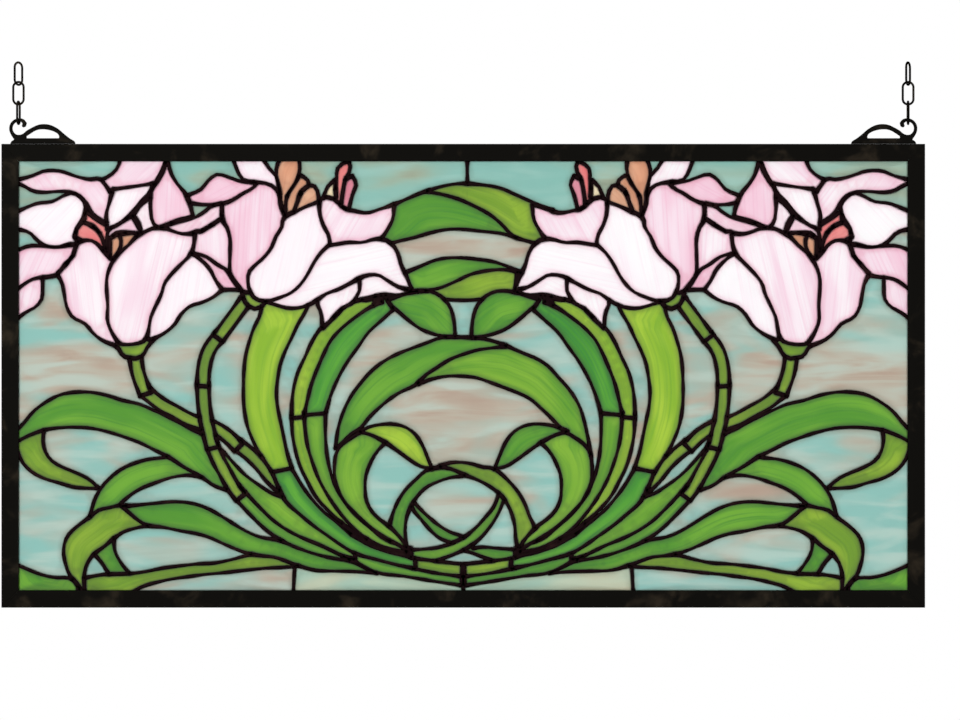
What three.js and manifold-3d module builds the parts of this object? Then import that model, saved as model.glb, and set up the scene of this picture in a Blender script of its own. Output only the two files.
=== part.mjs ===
// A copper-foil stained glass window panel: lilies and leaves of coloured glass held by dark
// solder seams, a metal channel round the edge, and two scroll hooks with short chains on top.
// Millimetres, +Z up. The panel faces -Y, and hangs from the origin, which lies midway between
// the tops of its two chains.
import * as THREE from "three";
import { mergeVertices } from "three/addons/utils/BufferGeometryUtils.js";
import Module from "manifold-3d";

const wasm = await Module();
wasm.setup();

// Driving dimensions: the panel and its edge channel
const panelWidth = 711;
const panelHeight = 357;
const channelFace = 13.4;
const channelDepth = 7.5;
const channelWall = 1;
const gap = 0.3;

// Driving dimensions: glass and solder
const glassThickness = 3;
const seamWidth = 3.8;
const seamHeight = 4.9;
const glassBite = 2.5;
const plateBite = 6;
const curveTolerance = 1.3;
const finePoints = 12;
const mitreLimit = 0.5;
const weldDistance = 1e-5;
const leastVolume = 1;

// Driving dimensions: hooks
const hookLength = 49.6;
const hookInset = 6.3;
const hookThickness = 3.6;
const stripHeight = 4.2;
const archRise = 14.9;
const archBar = 3.6;
const scrollBar = 2.4;
const scrollTop = 19.6;
const scrollWidth = 12.8;

// Driving dimensions: chains
const linkLength = 19;
const linkWidth = 10;
const linkWire = 1.8;
const linkSides = 6;
const linkSteps = 8;
const linkTurns = { left: [84, -8, 54], right: [78, 0, 62] };

// The cartoon is drawn on squared paper, x from the middle and z up from the sill of the glass
const squaresWide = 887;
const squaresHigh = 429;

// Sizes that follow from the driving ones
const fieldWidth = panelWidth - 2 * channelFace;
const fieldHeight = panelHeight - 2 * channelFace;
const squareX = fieldWidth / squaresWide;
const squareZ = fieldHeight / squaresHigh;
const linkPitch = linkLength - 2 * linkWire - gap;
const scrollCentre = scrollWidth / 2;
const hookX = panelWidth / 2 - hookInset - scrollCentre;
const linkSeat = gap + (hookThickness / 2) * Math.tan(Math.PI / linkSteps);
const firstLinkRise = gap + scrollTop - scrollBar - linkSeat - linkWire + linkLength / 2;
const hangingRise = firstLinkRise + 2 * linkPitch + linkLength / 2 - linkWire;
const panelTop = -hangingRise;
const panelBottom = panelTop - panelHeight;
const fieldBottom = panelBottom + channelFace;

const sides = { left: 1, right: -1 };
const group = new THREE.Group();

const finishes = {
  blackMetal: [0x16130f, 0.5, 0.85],
  darkSolder: [0x23110f, 0.42, 0.75],
  pinkGlass: [0xf3cfdd, 0.25, 0],
  whiteGlass: [0xfbf1f5, 0.25, 0],
  leafGlass: [0x5aa03a, 0.25, 0],
  limeGlass: [0x8db43c, 0.25, 0],
  skyGlass: [0xa3cdc4, 0.25, 0],
  mauveGlass: [0xc0ad9b, 0.25, 0],
};

function material(finish) {
  const [color, roughness, metalness] = finishes[finish];
  return new THREE.MeshStandardMaterial({ color, roughness, metalness });
}

// A closed three.js geometry becomes a solid that can be joined and cut
function solidFrom(geometry) {
  const bare = geometry.index ? geometry.toNonIndexed() : geometry.clone();
  bare.deleteAttribute("normal");
  bare.deleteAttribute("uv");
  const welded = mergeVertices(bare, weldDistance);
  return new wasm.Manifold(new wasm.Mesh({
    numProp: 3,
    vertProperties: new Float32Array(welded.attributes.position.array),
    triVerts: new Uint32Array(welded.index.array),
  }));
}

function addSolid(name, solid, finish) {
  const mesh = solid.getMesh();
  const geometry = new THREE.BufferGeometry();
  geometry.setAttribute("position", new THREE.BufferAttribute(new Float32Array(mesh.vertProperties), 3));
  geometry.setIndex(new THREE.BufferAttribute(new Uint32Array(mesh.triVerts), 1));
  const part = new THREE.Mesh(geometry, material(finish));
  part.name = name;
  group.add(part);
}

// A flat outline in x and z is given a thickness from front (y0) to back (y1)
function slab(points, y0, y1) {
  const geometry = new THREE.ExtrudeGeometry(new THREE.Shape(points), {
    depth: y1 - y0,
    bevelEnabled: false,
    steps: 1,
  });
  geometry.rotateX(Math.PI / 2);
  geometry.translate(0, y1, 0);
  return solidFrom(geometry);
}

// A box between two opposite corners
function block(low, high) {
  const face = [[low[0], low[2]], [high[0], low[2]], [high[0], high[2]], [low[0], high[2]]];
  return slab(face.map(([x, z]) => new THREE.Vector2(x, z)), low[1], high[1]);
}

// A smooth run through its anchor points, as the fewest straight steps that keep to the tolerance
function flatten(anchors, tolerance) {
  if (anchors.length === 2) return anchors;
  const fine = new THREE.SplineCurve(anchors).getPoints(finePoints * (anchors.length - 1));
  const thin = (from, to) => {
    const chord = fine[to].clone().sub(fine[from]);
    let worst = from;
    let furthest = tolerance;
    for (let i = from + 1; i < to; i += 1) {
      const stray = Math.abs(chord.cross(fine[i].clone().sub(fine[from]))) / chord.length();
      if (stray > furthest) [worst, furthest] = [i, stray];
    }
    return worst === from ? [fine[to]] : [...thin(from, worst), ...thin(worst, to)];
  };
  return [fine[0], ...thin(0, fine.length - 1)];
}

// The line that runs beside another at a distance, mitred at its corners
function beside(line, distance, closed) {
  const last = line.length - 1;
  return line.map((point, i) => {
    const behind = line[i > 0 || !closed ? Math.max(i - 1, 0) : last];
    const ahead = line[i < last || !closed ? Math.min(i + 1, last) : 0];
    const before = point.clone().sub(behind).normalize();
    const after = ahead.clone().sub(point).normalize();
    const along = before.clone().add(after).normalize();
    const square = !closed && (i === 0 || i === last);
    const reach = distance / (square ? 1 : Math.max(along.dot(after), mitreLimit));
    return point.clone().addScaledVector(new THREE.Vector2(-along.y, along.x), reach);
  });
}

// A ribbon of the given half width along a run, with its ends pushed out
function ribbon(run, halfWidth, endReach) {
  const line = run.map((point) => point.clone());
  const last = line.length - 1;
  const first = line[0].clone().sub(line[1]).setLength(endReach);
  const final = line[last].clone().sub(line[last - 1]).setLength(endReach);
  line[0].add(first);
  line[last].add(final);
  return [...beside(line, halfWidth, false), ...beside(line, -halfWidth, false).reverse()];
}

// Cartoon squares become millimetres on the panel
function onPanel([x, z], side) {
  return new THREE.Vector2(sides[side] * x * squareX, fieldBottom + z * squareZ);
}

// An outline is a loop of smooth runs, and each run starts where the one before it ends
function outlineRuns(runs, side) {
  return runs.map((run, i) => {
    const before = runs[(i + runs.length - 1) % runs.length];
    const start = before[before.length - 1];
    const joined = start[0] === run[0][0] && start[1] === run[0][1] ? run : [start, ...run];
    return flatten(joined.map((point) => onPanel(point, side)), curveTolerance);
  });
}

// A blade is a stem or leaf worked out from a spine: each entry is x, z and the width there
function bladeRuns(spine) {
  const edge = (sign) => spine.map(([x, z, width], i) => {
    const before = spine[Math.max(i - 1, 0)];
    const after = spine[Math.min(i + 1, spine.length - 1)];
    const along = new THREE.Vector2(after[0] - before[0], after[1] - before[1]).normalize();
    return [x - sign * along.y * width / 2, z + sign * along.x * width / 2];
  });
  const near = edge(1);
  const far = edge(-1).reverse();
  return [near, [near[near.length - 1], far[0]], far, [far[far.length - 1], near[0]]];
}

// The cartoon runs a little over the edges of the glass, to these squares
const paper = { side: -452.5, top: 438, foot: -9 };

// Outlines of one side, front ones first: what lies behind another is cut by it
const sideOutlines = [
  ["outer_lily_middle_petal", "whiteGlass", [
    [[-350, 329], [-334, 345], [-318, 358], [-297, 362], [-268, 356]],
    [[-271, 338], [-292, 315], [-307, 284], [-316, 251]],
    [[-330, 246], [-345, 245]],
    [[-354, 262], [-356, 286], [-355, 308], [-350, 329]],
  ]],
  ["outer_lily_left_petal", "pinkGlass", [
    [[-347, 244], [-370, 257], [-391, 274], [-398, 296], [-405, 316]],
    [[-390, 335], [-384, 348]],
    [[-371, 350], [-361, 342], [-350, 329]],
    [[-349, 300], [-347, 244]],
  ]],
  ["outer_lily_right_petal", "whiteGlass", [
    [[-271, 337], [-253, 321], [-241, 300]],
    [[-260, 288], [-281, 277], [-298, 257], [-322, 249]],
    [[-310, 285], [-280, 328], [-271, 337]],
  ]],
  ["outer_lily_side_petals", "whiteGlass", [
    [[paper.side, 377], [-444, 379], [-425, 387], [-398, 395], [-383, 394]],
    [[-377, 382], [-386, 362], [-384, 348]],
    [[-390, 335], [-405, 316]],
    [[-413, 313], [-421, 311]],
    [[-420, 297], [-429, 282], [paper.side, 268]],
    [[paper.side, 340]],
    [[-433, 344], [-419, 345]],
    [[-430, 357], [paper.side, 361]],
  ]],
  ["outer_lily_upper_petals", "pinkGlass", [
    [[paper.side, 407], [-444, 411], [-420, 419], [-400, 418], [-373, 411], [-361, 410]],
    [[-350, 417], [-343, paper.top]],
    [[-297, paper.top]],
    [[-302, 418], [-310, 407]],
    [[-314, 399], [-330, 378], [-322, 358]],
    [[-335, 340], [-350, 322]],
    [[-375, 338], [-396, 352]],
    [[-396, 396]],
    [[-420, 398], [-444, 408], [paper.side, 407]],
  ]],
  ["outer_lily_back_petals", "pinkGlass", [
    [[-295, paper.top], [-299, 424], [-311, 402]],
    [[-313, 391], [-328, 377]],
    [[-326, 368], [-320, 354]],
    [[-268, 350]],
    [[-266, 357], [-251, 366], [-236, 376]],
    [[-236, 387]],
    [[-250, 385], [-271, 373]],
    [[-273, 390], [-287, 410], [-293, paper.top]],
  ]],
  ["inner_lily_front_petal", "whiteGlass", [
    [[-180, 373], [-165, 381], [-144, 388]],
    [[-140, 366], [-134, 348]],
    [[-141, 339], [-156, 316], [-171, 298], [-198, 290], [-209, 292]],
    [[-213, 308], [-204, 328], [-188, 351], [-180, 373]],
  ]],
  ["inner_lily_left_petals", "pinkGlass", [
    [[-185, 397], [-200, 407], [-220, 396], [-243, 388]],
    [[-242, 371]],
    [[-253, 364], [-268, 357]],
    [[-267, 348], [-271, 336]],
    [[-254, 322], [-241, 301]],
    [[-222, 300]],
    [[-200, 296]],
    [[-185, 340], [-178, 373]],
    [[-184, 386], [-185, 397]],
  ]],
  ["inner_lily_upper_petals", "pinkGlass", [
    [[-275, 394], [-262, 401], [-254, 411], [-244, 416], [-222, 411]],
    [[-224, 420], [-232, paper.top]],
    [[-202, paper.top]],
    [[-198, 425], [-187, 414], [-184, 400]],
    [[-195, 392]],
    [[-240, 384]],
    [[-256, 385], [-273, 388]],
    [[-275, 394]],
  ]],
  ["inner_lily_right_petals", "pinkGlass", [
    [[-144, 388], [-135, 393], [-119, 382], [-96, 377], [-70, 385]],
    [[-71, 370], [-84, 352]],
    [[-72, 346], [-60, 322], [-53, 299]],
    [[-78, 296], [-109, 289]],
    [[-123, 281], [-140, 265]],
    [[-142, 278], [-147, 289]],
    [[-158, 283], [-180, 283], [-202, 291]],
    [[-170, 312]],
    [[-144, 388]],
  ]],
  ["inner_lily_stamens", "pinkGlass", [
    [[-179, paper.top], [-187, 419], [-184, 404], [-180, 374]],
    [[-150, 370]],
    [[-113, 372]],
    [[-113, 385], [-108, paper.top]],
  ]],
  ["tall_leaf", "leafGlass", [
    [[-203, 296], [-214, 249], [-219, 206], [-216, 164], [-205, 138], [-184, 101], [-163, 76], [-122, 45],
      [-88, 31], [-45, 21], [0, 14]],
    [[0, 25]],
    [[-46, 31], [-75, 38], [-101, 49], [-128, 69], [-153, 94], [-171, 118], [-179, 150], [-186, 192],
      [-183, 226], [-171, 252], [-152, 292]],
    [[-203, 296]],
  ]],
  ["broad_leaf", "leafGlass", [
    [[paper.side, 152], [-445, 159], [-429, 179], [-402, 195], [-372, 198], [-323, 186], [-275, 163],
      [-248, 147]],
    [[-236, 100]],
    [[-262, 114], [-294, 133], [-323, 147], [-353, 158], [-389, 163], [-419, 159]],
    [[-417, 138], [-401, 123], [-374, 111], [-362, 100]],
    [[-390, 102], [-418, 111], [-438, 125], [paper.side, 152]],
  ]],
  ["drooping_leaf", "leafGlass", [
    [[-395, 54], [-374, 72], [-343, 84], [-307, 87], [-271, 87], [-243, 75], [-216, 58], [-186, 50],
      [-149, 36], [-98, 20]],
    [[-128, 19], [-169, 26], [-202, 35], [-264, 56], [-316, 66]],
    [[-338, 60], [-358, 44], [-374, 28], [-379, 2]],
    [[-393, 15], [-399, 35], [-395, 54]],
  ]],
  ["arched_leaf", "leafGlass", [
    [[-374, 66], [-367, 93], [-342, 121], [-314, 131], [-280, 131]],
    [[-246, 106]],
    [[-264, 115], [-290, 113], [-323, 101], [-344, 83]],
    [[-355, 68], [-374, 66]],
  ]],
  ["bottom_leaf", "limeGlass", [
    [[paper.side, 28], [-433, 20], [-406, 13], [-377, 13]],
    [[-340, 16], [-320, 18], [-281, 24], [-246, 28], [-210, 37]],
    [[-160, 28]],
    [[-196, 22], [-243, 17], [-274, 13], [-307, 7], [-340, paper.foot]],
    [[paper.side, paper.foot]],
    [[paper.side, 28]],
  ]],
  ["long_leaf", "limeGlass", [
    [[-254, 152], [-240, 139], [-219, 116], [-190, 98]],
    [[-175, 96], [-150, 76], [-105, 43], [-44, 26], [0, 19]],
    [[0, 8]],
    [[-30, 9], [-63, 13], [-90, 18], [-111, 31], [-135, 38], [-173, 56], [-200, 75], [-222, 96]],
    [[-246, 128], [-254, 152]],
  ]],
  ["paired_leaves", "leafGlass", [
    [[-80, 294], [-108, 287], [-125, 278], [-144, 260], [-158, 233], [-169, 204], [-171, 173], [-167, 139],
      [-155, 108], [-135, 80], [-107, 57], [-66, 36]],
    [[-60, 41]],
    [[-81, 53], [-108, 76], [-126, 100], [-134, 124], [-137, 160], [-131, 197], [-115, 229], [-95, 257],
      [-70, 282]],
    [[-80, 294]],
  ]],
  ["curling_leaf", "limeGlass", [
    [[-102, 160], [-80, 166], [-57, 162], [-42, 146], [-33, 123]],
    [[-43, 124], [-58, 134], [-78, 147]],
    [[-93, 126], [-98, 101], [-91, 78], [-62, 47]],
    [[-60, 42]],
    [[-84, 56], [-108, 77], [-126, 103], [-128, 127], [-120, 147], [-102, 160]],
  ]],
];

// The stems, each a spine with its width; the outer one passes behind the inner one
const innerStem = [[-204, 302, 26], [-211, 290, 20], [-219, 283, 12], [-244, 256, 11], [-259, 222, 12],
  [-260, 190, 12], [-252, 149, 12], [-229, 102, 12], [-207, 78, 11], [-179, 55, 8], [-145, 39, 4],
  [-128, 33, 1.5]];
const outerStem = [[-330, 254, 36], [-329, 242, 27], [-328, 231, 14], [-325, 218, 12], [-315, 197, 12],
  [-287, 178, 12], [-262, 167, 12], [-238, 156, 12], [-212, 135, 12], [-186, 105, 12]];

// Forms that cross the middle
const mirrored = (run) => run.map(([x, z]) => [-x, z]).reverse();
const archHalf = [[-127, 144], [-120, 178], [-103, 206], [-83, 226], [-50, 242], [-23, 252], [0, 253]];
const archUnder = [[0, 214], [-40, 208], [-63, 198], [-85, 181], [-101, 163], [-127, 144]];
const ringOuter = [[-60, 30], [-66, 50], [-73, 66], [-66, 88], [-46, 111], [-26, 123], [0, 128]];
const ringInner = [[-58, 46], [-57, 66], [-48, 88], [-36, 103], [-14, 112], [0, 113]];
const bandTop = [[-64, 312], [-27, 330], [0, 333]];
const archTop = [[-88, 376], [-42, 397], [0, 407]];
const archLow = [[0, 361], [-42, 356], [-88, 340]];

const ringWindow = [
  [...ringInner.slice(2), ...mirrored(ringInner.slice(2)).slice(1)],
  [[36, 78], [18, 64], [0, 53]],
  [[-18, 61], [-36, 76], [-48, 88]],
];
const ringSide = [
  [[-57, 66], [-51, 79]],
  [[-33, 60], [-13, 47]],
  [[-26, 42], [-40, 41], [-58, 44]],
  [[-57, 66]],
];
const ribbonForm = [
  [...ringInner, ...mirrored(ringInner).slice(1)],
  [[58, 30]],
  [[-58, 30]],
  [[-58, 46]],
];

const middleOutlines = [
  ["arch_leaves", "leafGlass", [
    [...archHalf, ...mirrored(archHalf).slice(1)],
    [...mirrored(archUnder), ...archUnder.slice(1)],
  ]],
  ["ring", "limeGlass", [
    [...ringOuter, ...mirrored(ringOuter).slice(1)],
    [[-60, 30]],
  ]],
  ["heart_leaves", "leafGlass", [
    [...bandTop, ...mirrored(bandTop).slice(1)],
    [[50, 297]],
    [[83, 289]],
    [[69, 281], [42, 261], [9, 253]],
    [[10, 271], [13, 290]],
    [[-13, 290]],
    [[-10, 271], [-9, 253]],
    [[-42, 261], [-69, 281], [-83, 289]],
    [[-50, 297]],
    [[-64, 312]],
  ]],
  ["top_arch", "limeGlass", [
    [...archTop, ...mirrored(archTop).slice(1)],
    [[88, 340]],
    [...mirrored(archLow), ...archLow.slice(1)],
    [[-88, 376]],
  ]],
];

// Tiles and openings: a form keeps what the forms in front of it leave, less the seams round it
const halfSeam = seamWidth / 2;
const deep = seamHeight;
const glassFront = -glassThickness / 2;

// Runs that meet without a sharp corner share one strand of solder
function follows(before, after) {
  const end = before[before.length - 1];
  const arriving = end.clone().sub(before[before.length - 2]);
  const leaving = after[1].clone().sub(after[0]);
  const room = Math.min(arriving.length(), leaving.length()) > seamWidth;
  const turn = arriving.normalize().dot(leaving.normalize());
  return end.distanceTo(after[0]) < gap && room && turn > Math.cos(sharpCorner);
}

function strandsOf(runs) {
  const strands = [];
  for (const run of runs) {
    const before = strands[strands.length - 1];
    if (before && follows(before, run)) before.push(...run.slice(1));
    else strands.push([...run]);
  }
  const last = strands[strands.length - 1];
  if (strands.length > 1 && follows(last, strands[0])) last.push(...strands.shift().slice(1));
  return strands;
}

function strandOf(run, halfWidth) {
  if (!follows(run, run)) return slab(ribbon(run, halfWidth, halfWidth), -deep, deep);
  const loop = run.slice(1);
  const turnsLeft = THREE.ShapeUtils.isClockWise(loop) ? 1 : -1;
  const outside = slab(beside(loop, turnsLeft * halfWidth, true), -deep, deep);
  return outside.subtract(slab(beside(loop, -turnsLeft * halfWidth, true), -2 * deep, 2 * deep));
}

function seamsOf(runs, halfWidth) {
  return wasm.Manifold.union(strandsOf(runs).map((run) => strandOf(run, halfWidth)));
}

function formOf(runs) {
  const loop = runs.flatMap((run) => run.slice(0, -1));
  return slab(loop, -deep, deep);
}

const glassBlock = block(
  [-fieldWidth / 2 - glassBite, -deep, fieldBottom - glassBite],
  [fieldWidth / 2 + glassBite, deep, fieldBottom + fieldHeight + glassBite],
);
const tileBlock = block(
  [-fieldWidth / 2 - glassBite + gap, glassFront, fieldBottom - glassBite + gap],
  [fieldWidth / 2 + glassBite - gap, -glassFront, fieldBottom + fieldHeight + glassBite - gap],
);
let covered = null;
let seams = null;
let wideSeams = null;
const openings = [];
const tiles = [];
const leastShown = 0.12;
const sharpCorner = Math.PI * 0.62;

function join(whole, piece) {
  return whole ? whole.add(piece) : piece;
}

function largest(solid) {
  return solid.decompose().sort((a, b) => b.volume() - a.volume())[0];
}

// A form that falls wholly outside the field gives no tile
function keep(name, finish, tile) {
  if (tile && tile.volume() > leastVolume) tiles.push([name, finish, tile]);
}

// A run that lies behind the forms in front shows no seam
function shows(run) {
  if (!covered) return true;
  const thread = slab(ribbon(run, halfSeam / 4, 0), -deep, deep);
  return thread.subtract(covered).volume() > leastShown * thread.volume();
}

function place(name, finish, form, outlines, keepTile) {
  const region = (covered ? form.subtract(covered) : form).intersect(glassBlock);
  const seen = outlines.filter(shows);
  if (seen.length) {
    seams = join(seams, seamsOf(seen, halfSeam));
    wideSeams = join(wideSeams, seamsOf(seen, halfSeam + gap));
  }
  openings.push(region.subtract(seams));
  if (keepTile) keep(name, finish, largest(region.subtract(wideSeams).intersect(tileBlock)));
  covered = join(covered, form);
}

const lilyForms = sideOutlines.slice(0, 11);
const leafForms = sideOutlines.slice(12);
const tallLeaf = sideOutlines[11];
const small = ["inner_lily_stamens", "outer_stem", "ring_side", "ribbon"];

function placeOn(side, [name, finish, runs]) {
  const outline = outlineRuns(runs, side);
  place(`${name}_${side}`, finish, formOf(outline), outline, !small.includes(name));
}

for (const side of Object.keys(sides)) {
  for (const form of lilyForms) placeOn(side, form);
}
for (const side of Object.keys(sides)) {
  placeOn(side, tallLeaf);
  placeOn(side, ["inner_stem", "limeGlass", bladeRuns(innerStem)]);
  placeOn(side, ["outer_stem", "limeGlass", bladeRuns(outerStem)]);
  for (const form of leafForms) placeOn(side, form);
  placeOn(side, ["ring_side", "skyGlass", ringSide]);
}
const middleForms = [
  ["ring_window", "mauveGlass", ringWindow],
  ["ribbon", "leafGlass", ribbonForm],
  ...middleOutlines,
];
for (const [name, finish, runs] of middleForms) {
  const outline = outlineRuns(runs, "left");
  place(name, finish, formOf(outline), outline, !small.includes(name));
}

// The background is what no form covers; the large pieces are tiles of their own
const backgroundSeeds = [
  ["left_background", "mauveGlass", -400, 250],
  ["right_background", "mauveGlass", 400, 250],
  ["middle_background", "mauveGlass", 0, 180],
  ["top_background", "skyGlass", 0, 418],
];
const leastTile = 1850;
const background = glassBlock.subtract(covered);

function holds(solid, x, z) {
  const point = onPanel([x, z], "left");
  const half = glassThickness / 2;
  const probe = block([point.x - half, -half, point.y - half], [point.x + half, half, point.y + half]);
  return solid.intersect(probe).volume() > leastVolume;
}

for (const opening of background.subtract(seams).decompose()) {
  if (opening.volume() > leastTile * 2 * deep) openings.push(opening);
}
const backgroundTiles = background.subtract(wideSeams).intersect(tileBlock).decompose();
for (const [name, finish, x, z] of backgroundSeeds) {
  keep(name, finish, backgroundTiles.find((tile) => holds(tile, x, z)));
}

// The solder holds every tile: open where a tile of its own sits, and no thicker than glass
// over the small tiles, which stay joined to it
const plate = block(
  [-fieldWidth / 2 - plateBite, -seamHeight / 2, fieldBottom - plateBite],
  [fieldWidth / 2 + plateBite, seamHeight / 2, fieldBottom + fieldHeight + plateBite],
);
const glassLayer = block(
  [-panelWidth, -glassThickness / 2, panelBottom],
  [panelWidth, glassThickness / 2, panelTop],
);
const ownTiles = wasm.Manifold.union(tiles.map((tile) => tile[2]));
let solder = plate;
for (const opening of openings.flatMap((solid) => solid.decompose())) {
  const area = opening.volume() / (2 * deep);
  const open = opening.intersect(ownTiles).volume() > leastVolume;
  if (open) solder = solder.subtract(opening);
  else if (area > leastTile) solder = solder.subtract(opening.subtract(glassLayer));
}
addSolid("solder_seams", largest(solder), "darkSolder");
for (const [name, finish, solid] of tiles) addSolid(name, solid, finish);

// Edge channel: four mitred lengths, each open towards the glass
function channel(name, corners, slotLow, slotHigh) {
  const bar = slab(corners.map(([x, z]) => new THREE.Vector2(x, z)), -channelDepth / 2, channelDepth / 2);
  const halfSlot = channelDepth / 2 - channelWall;
  const slot = block([slotLow[0], -halfSlot, slotLow[1]], [slotHigh[0], halfSlot, slotHigh[1]]);
  addSolid(name, bar.subtract(slot), "blackMetal");
}

const outerX = panelWidth / 2;
const innerX = outerX - channelFace;
const mitre = gap * Math.SQRT1_2;
const slotX = outerX - channelWall;
channel("frame_top",
  [[-outerX + mitre, panelTop], [-innerX + mitre, panelTop - channelFace],
    [innerX - mitre, panelTop - channelFace], [outerX - mitre, panelTop]],
  [-panelWidth, panelTop - channelFace - gap], [panelWidth, panelTop - channelWall]);
channel("frame_bottom",
  [[-outerX + mitre, panelBottom], [outerX - mitre, panelBottom],
    [innerX - mitre, panelBottom + channelFace], [-innerX + mitre, panelBottom + channelFace]],
  [-panelWidth, panelBottom + channelWall], [panelWidth, panelBottom + channelFace + gap]);
for (const [side, sign] of Object.entries(sides)) {
  const slotEnds = [sign * -slotX, sign * -(innerX - gap)].sort((a, b) => a - b);
  channel(`frame_${side}`,
    [[-sign * outerX, panelBottom + mitre], [-sign * innerX, panelBottom + channelFace + mitre],
      [-sign * innerX, panelTop - channelFace - mitre], [-sign * outerX, panelTop - mitre]],
    [slotEnds[0], panelBottom - gap], [slotEnds[1], panelTop + gap]);
}

// Hook: a strip on the channel, a low arch over it, and an open scroll that takes the chain
function hook(side) {
  const base = panelTop + gap;
  const at = ([u, v]) => new THREE.Vector2(sides[side] * (u - panelWidth / 2 + hookInset), base + v);
  const smooth = (points) => flatten(points.map(at), curveTolerance / 3);
  const along = (shares, low, rise) => shares.map(([u, v]) => [u * hookLength, low + v * rise]);
  const foot = along([[0, 0], [0.02, 0.06], [0.07, 0.19], [0.09, 0.4]], 0, archRise);
  const crown = along([[0.09, 0.4], [0.2, 0.45], [0.3, 0.69], [0.39, 0.89], [0.5, 1], [0.64, 0.92],
    [0.78, 0.6], [0.89, 0.3], [1, 0.05]], 0, archRise);
  const opening = along([[0.24, 0], [0.27, 0.31], [0.39, 0.86], [0.5, 1], [0.61, 0.9], [0.7, 0.58],
    [0.75, 0.2], [0.74, 0]], stripHeight, archRise - archBar - stripHeight);
  const radius = (scrollWidth - scrollBar) / 2;
  const turn = (degrees, share) => [
    scrollCentre + radius * share * Math.cos(degrees * Math.PI / 180),
    scrollTop - scrollBar / 2 - radius + radius * share * Math.sin(degrees * Math.PI / 180),
  ];
  const round = [225, 180, 135, 90, 50, 22].map((degrees) => turn(degrees, 1));
  const scroll = [[scrollCentre + scrollBar / 2, stripHeight], ...round, turn(8, 0.68)];
  const half = hookThickness / 2;
  const plateOutline = [...smooth(foot), ...smooth(crown).slice(1), at([hookLength, 0])];
  const body = slab(plateOutline, -half, half)
    .subtract(slab(smooth(opening), -hookThickness, hookThickness))
    .add(slab(ribbon(smooth(scroll), scrollBar / 2, 0), -half, half));
  addSolid(`hook_${side}`, body, "blackMetal");
}

// Link: a ring pulled out to an oval
function link(name, side, rise, turnDegrees) {
  const radius = (linkWidth - linkWire) / 2;
  const stretch = (linkLength - linkWidth) / 2;
  const geometry = new THREE.TorusGeometry(radius, linkWire / 2, linkSides, linkSteps);
  const position = geometry.attributes.position;
  for (let i = 0; i < position.count; i += 1) {
    const reach = position.getY(i) / (radius / 2);
    position.setY(i, position.getY(i) + stretch * Math.min(Math.max(reach, -1), 1));
  }
  geometry.rotateX(Math.PI / 2);
  geometry.rotateZ(turnDegrees * Math.PI / 180);
  geometry.translate(-sides[side] * hookX, 0, panelTop + rise);
  addSolid(name, solidFrom(geometry), "blackMetal");
}

for (const side of Object.keys(sides)) {
  hook(side);
  linkTurns[side].forEach((turn, i) => {
    link(`link_${side}_${i + 1}`, side, firstLinkRise + i * linkPitch, turn);
  });
}

export default group;
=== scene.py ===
# %% [markdown]
# # A stained glass panel with mirrored lilies
# This lesson rebuilds a hanging stained glass panel in Blender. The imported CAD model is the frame:
# it fixes every size and position, and the pieces made here take the places of its plain solids.
# All lengths are in metres unless a name says otherwise, and the panel stands in the XZ plane.

# %% Frame, tools and the CAD box
import math

import bmesh
import bpy
import numpy as np
from mathutils.geometry import delaunay_2d_cdt
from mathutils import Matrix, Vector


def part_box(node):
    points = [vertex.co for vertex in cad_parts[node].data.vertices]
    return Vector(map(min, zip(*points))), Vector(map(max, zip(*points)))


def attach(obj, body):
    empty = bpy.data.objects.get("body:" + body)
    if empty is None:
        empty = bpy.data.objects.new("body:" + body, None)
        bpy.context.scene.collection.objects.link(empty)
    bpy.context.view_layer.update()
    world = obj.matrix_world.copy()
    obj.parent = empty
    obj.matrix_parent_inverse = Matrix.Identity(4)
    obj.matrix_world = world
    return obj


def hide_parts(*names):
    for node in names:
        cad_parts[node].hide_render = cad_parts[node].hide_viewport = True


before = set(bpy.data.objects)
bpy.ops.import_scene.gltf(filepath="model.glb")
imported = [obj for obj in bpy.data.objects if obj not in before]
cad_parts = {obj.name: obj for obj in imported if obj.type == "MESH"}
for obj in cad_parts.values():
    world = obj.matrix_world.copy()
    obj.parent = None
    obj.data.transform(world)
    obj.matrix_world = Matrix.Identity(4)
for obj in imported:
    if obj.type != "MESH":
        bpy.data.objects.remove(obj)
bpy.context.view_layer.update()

# %% [markdown]
# ## Driving sizes
# The drawing is made in squares, 887 wide and 429 high, counted from the middle of the lower edge
# of the visible glass. One function turns squares into metres, so the drawing follows the panel.
# The links' turns about the upright axis are in degrees, from the top link down.

# %% Sizes
MM = 0.001
SQUARES_WIDE = 887
SQUARES_HIGH = 429
OVERRUN = 3
CHANNEL_FACE = 13.4 * MM
CHANNEL_DEPTH = 7.5 * MM
CHANNEL_WALL = 1.0 * MM
GLASS_HALF = 1.5 * MM
SEAM_HALF_WIDTH = 1.8 * MM
SEAM_HALF_HEIGHT = 2.3 * MM
SEAM_STEP = 4.2 * MM
HOOK_HALF_DEPTH = 1.8 * MM
LINK_LENGTH = 19 * MM
LINK_WIDTH = 10 * MM
LINK_WIRE = 1.76 * MM
LINK_TURNS = {"left": (84, -8, 54), "right": (78, 0, 62)}

panel_low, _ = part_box("frame_bottom")
_, panel_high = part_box("frame_top")
left_low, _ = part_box("frame_left")
_, right_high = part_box("frame_right")
PANEL_LEFT = left_low[0]
PANEL_RIGHT = right_high[0]
PANEL_BOTTOM = panel_low[2]
PANEL_TOP = panel_high[2]
SQUARE_WIDE = (PANEL_RIGHT - PANEL_LEFT - 2 * CHANNEL_FACE) / SQUARES_WIDE
SQUARE_HIGH = (PANEL_TOP - PANEL_BOTTOM - 2 * CHANNEL_FACE) / SQUARES_HIGH


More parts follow.
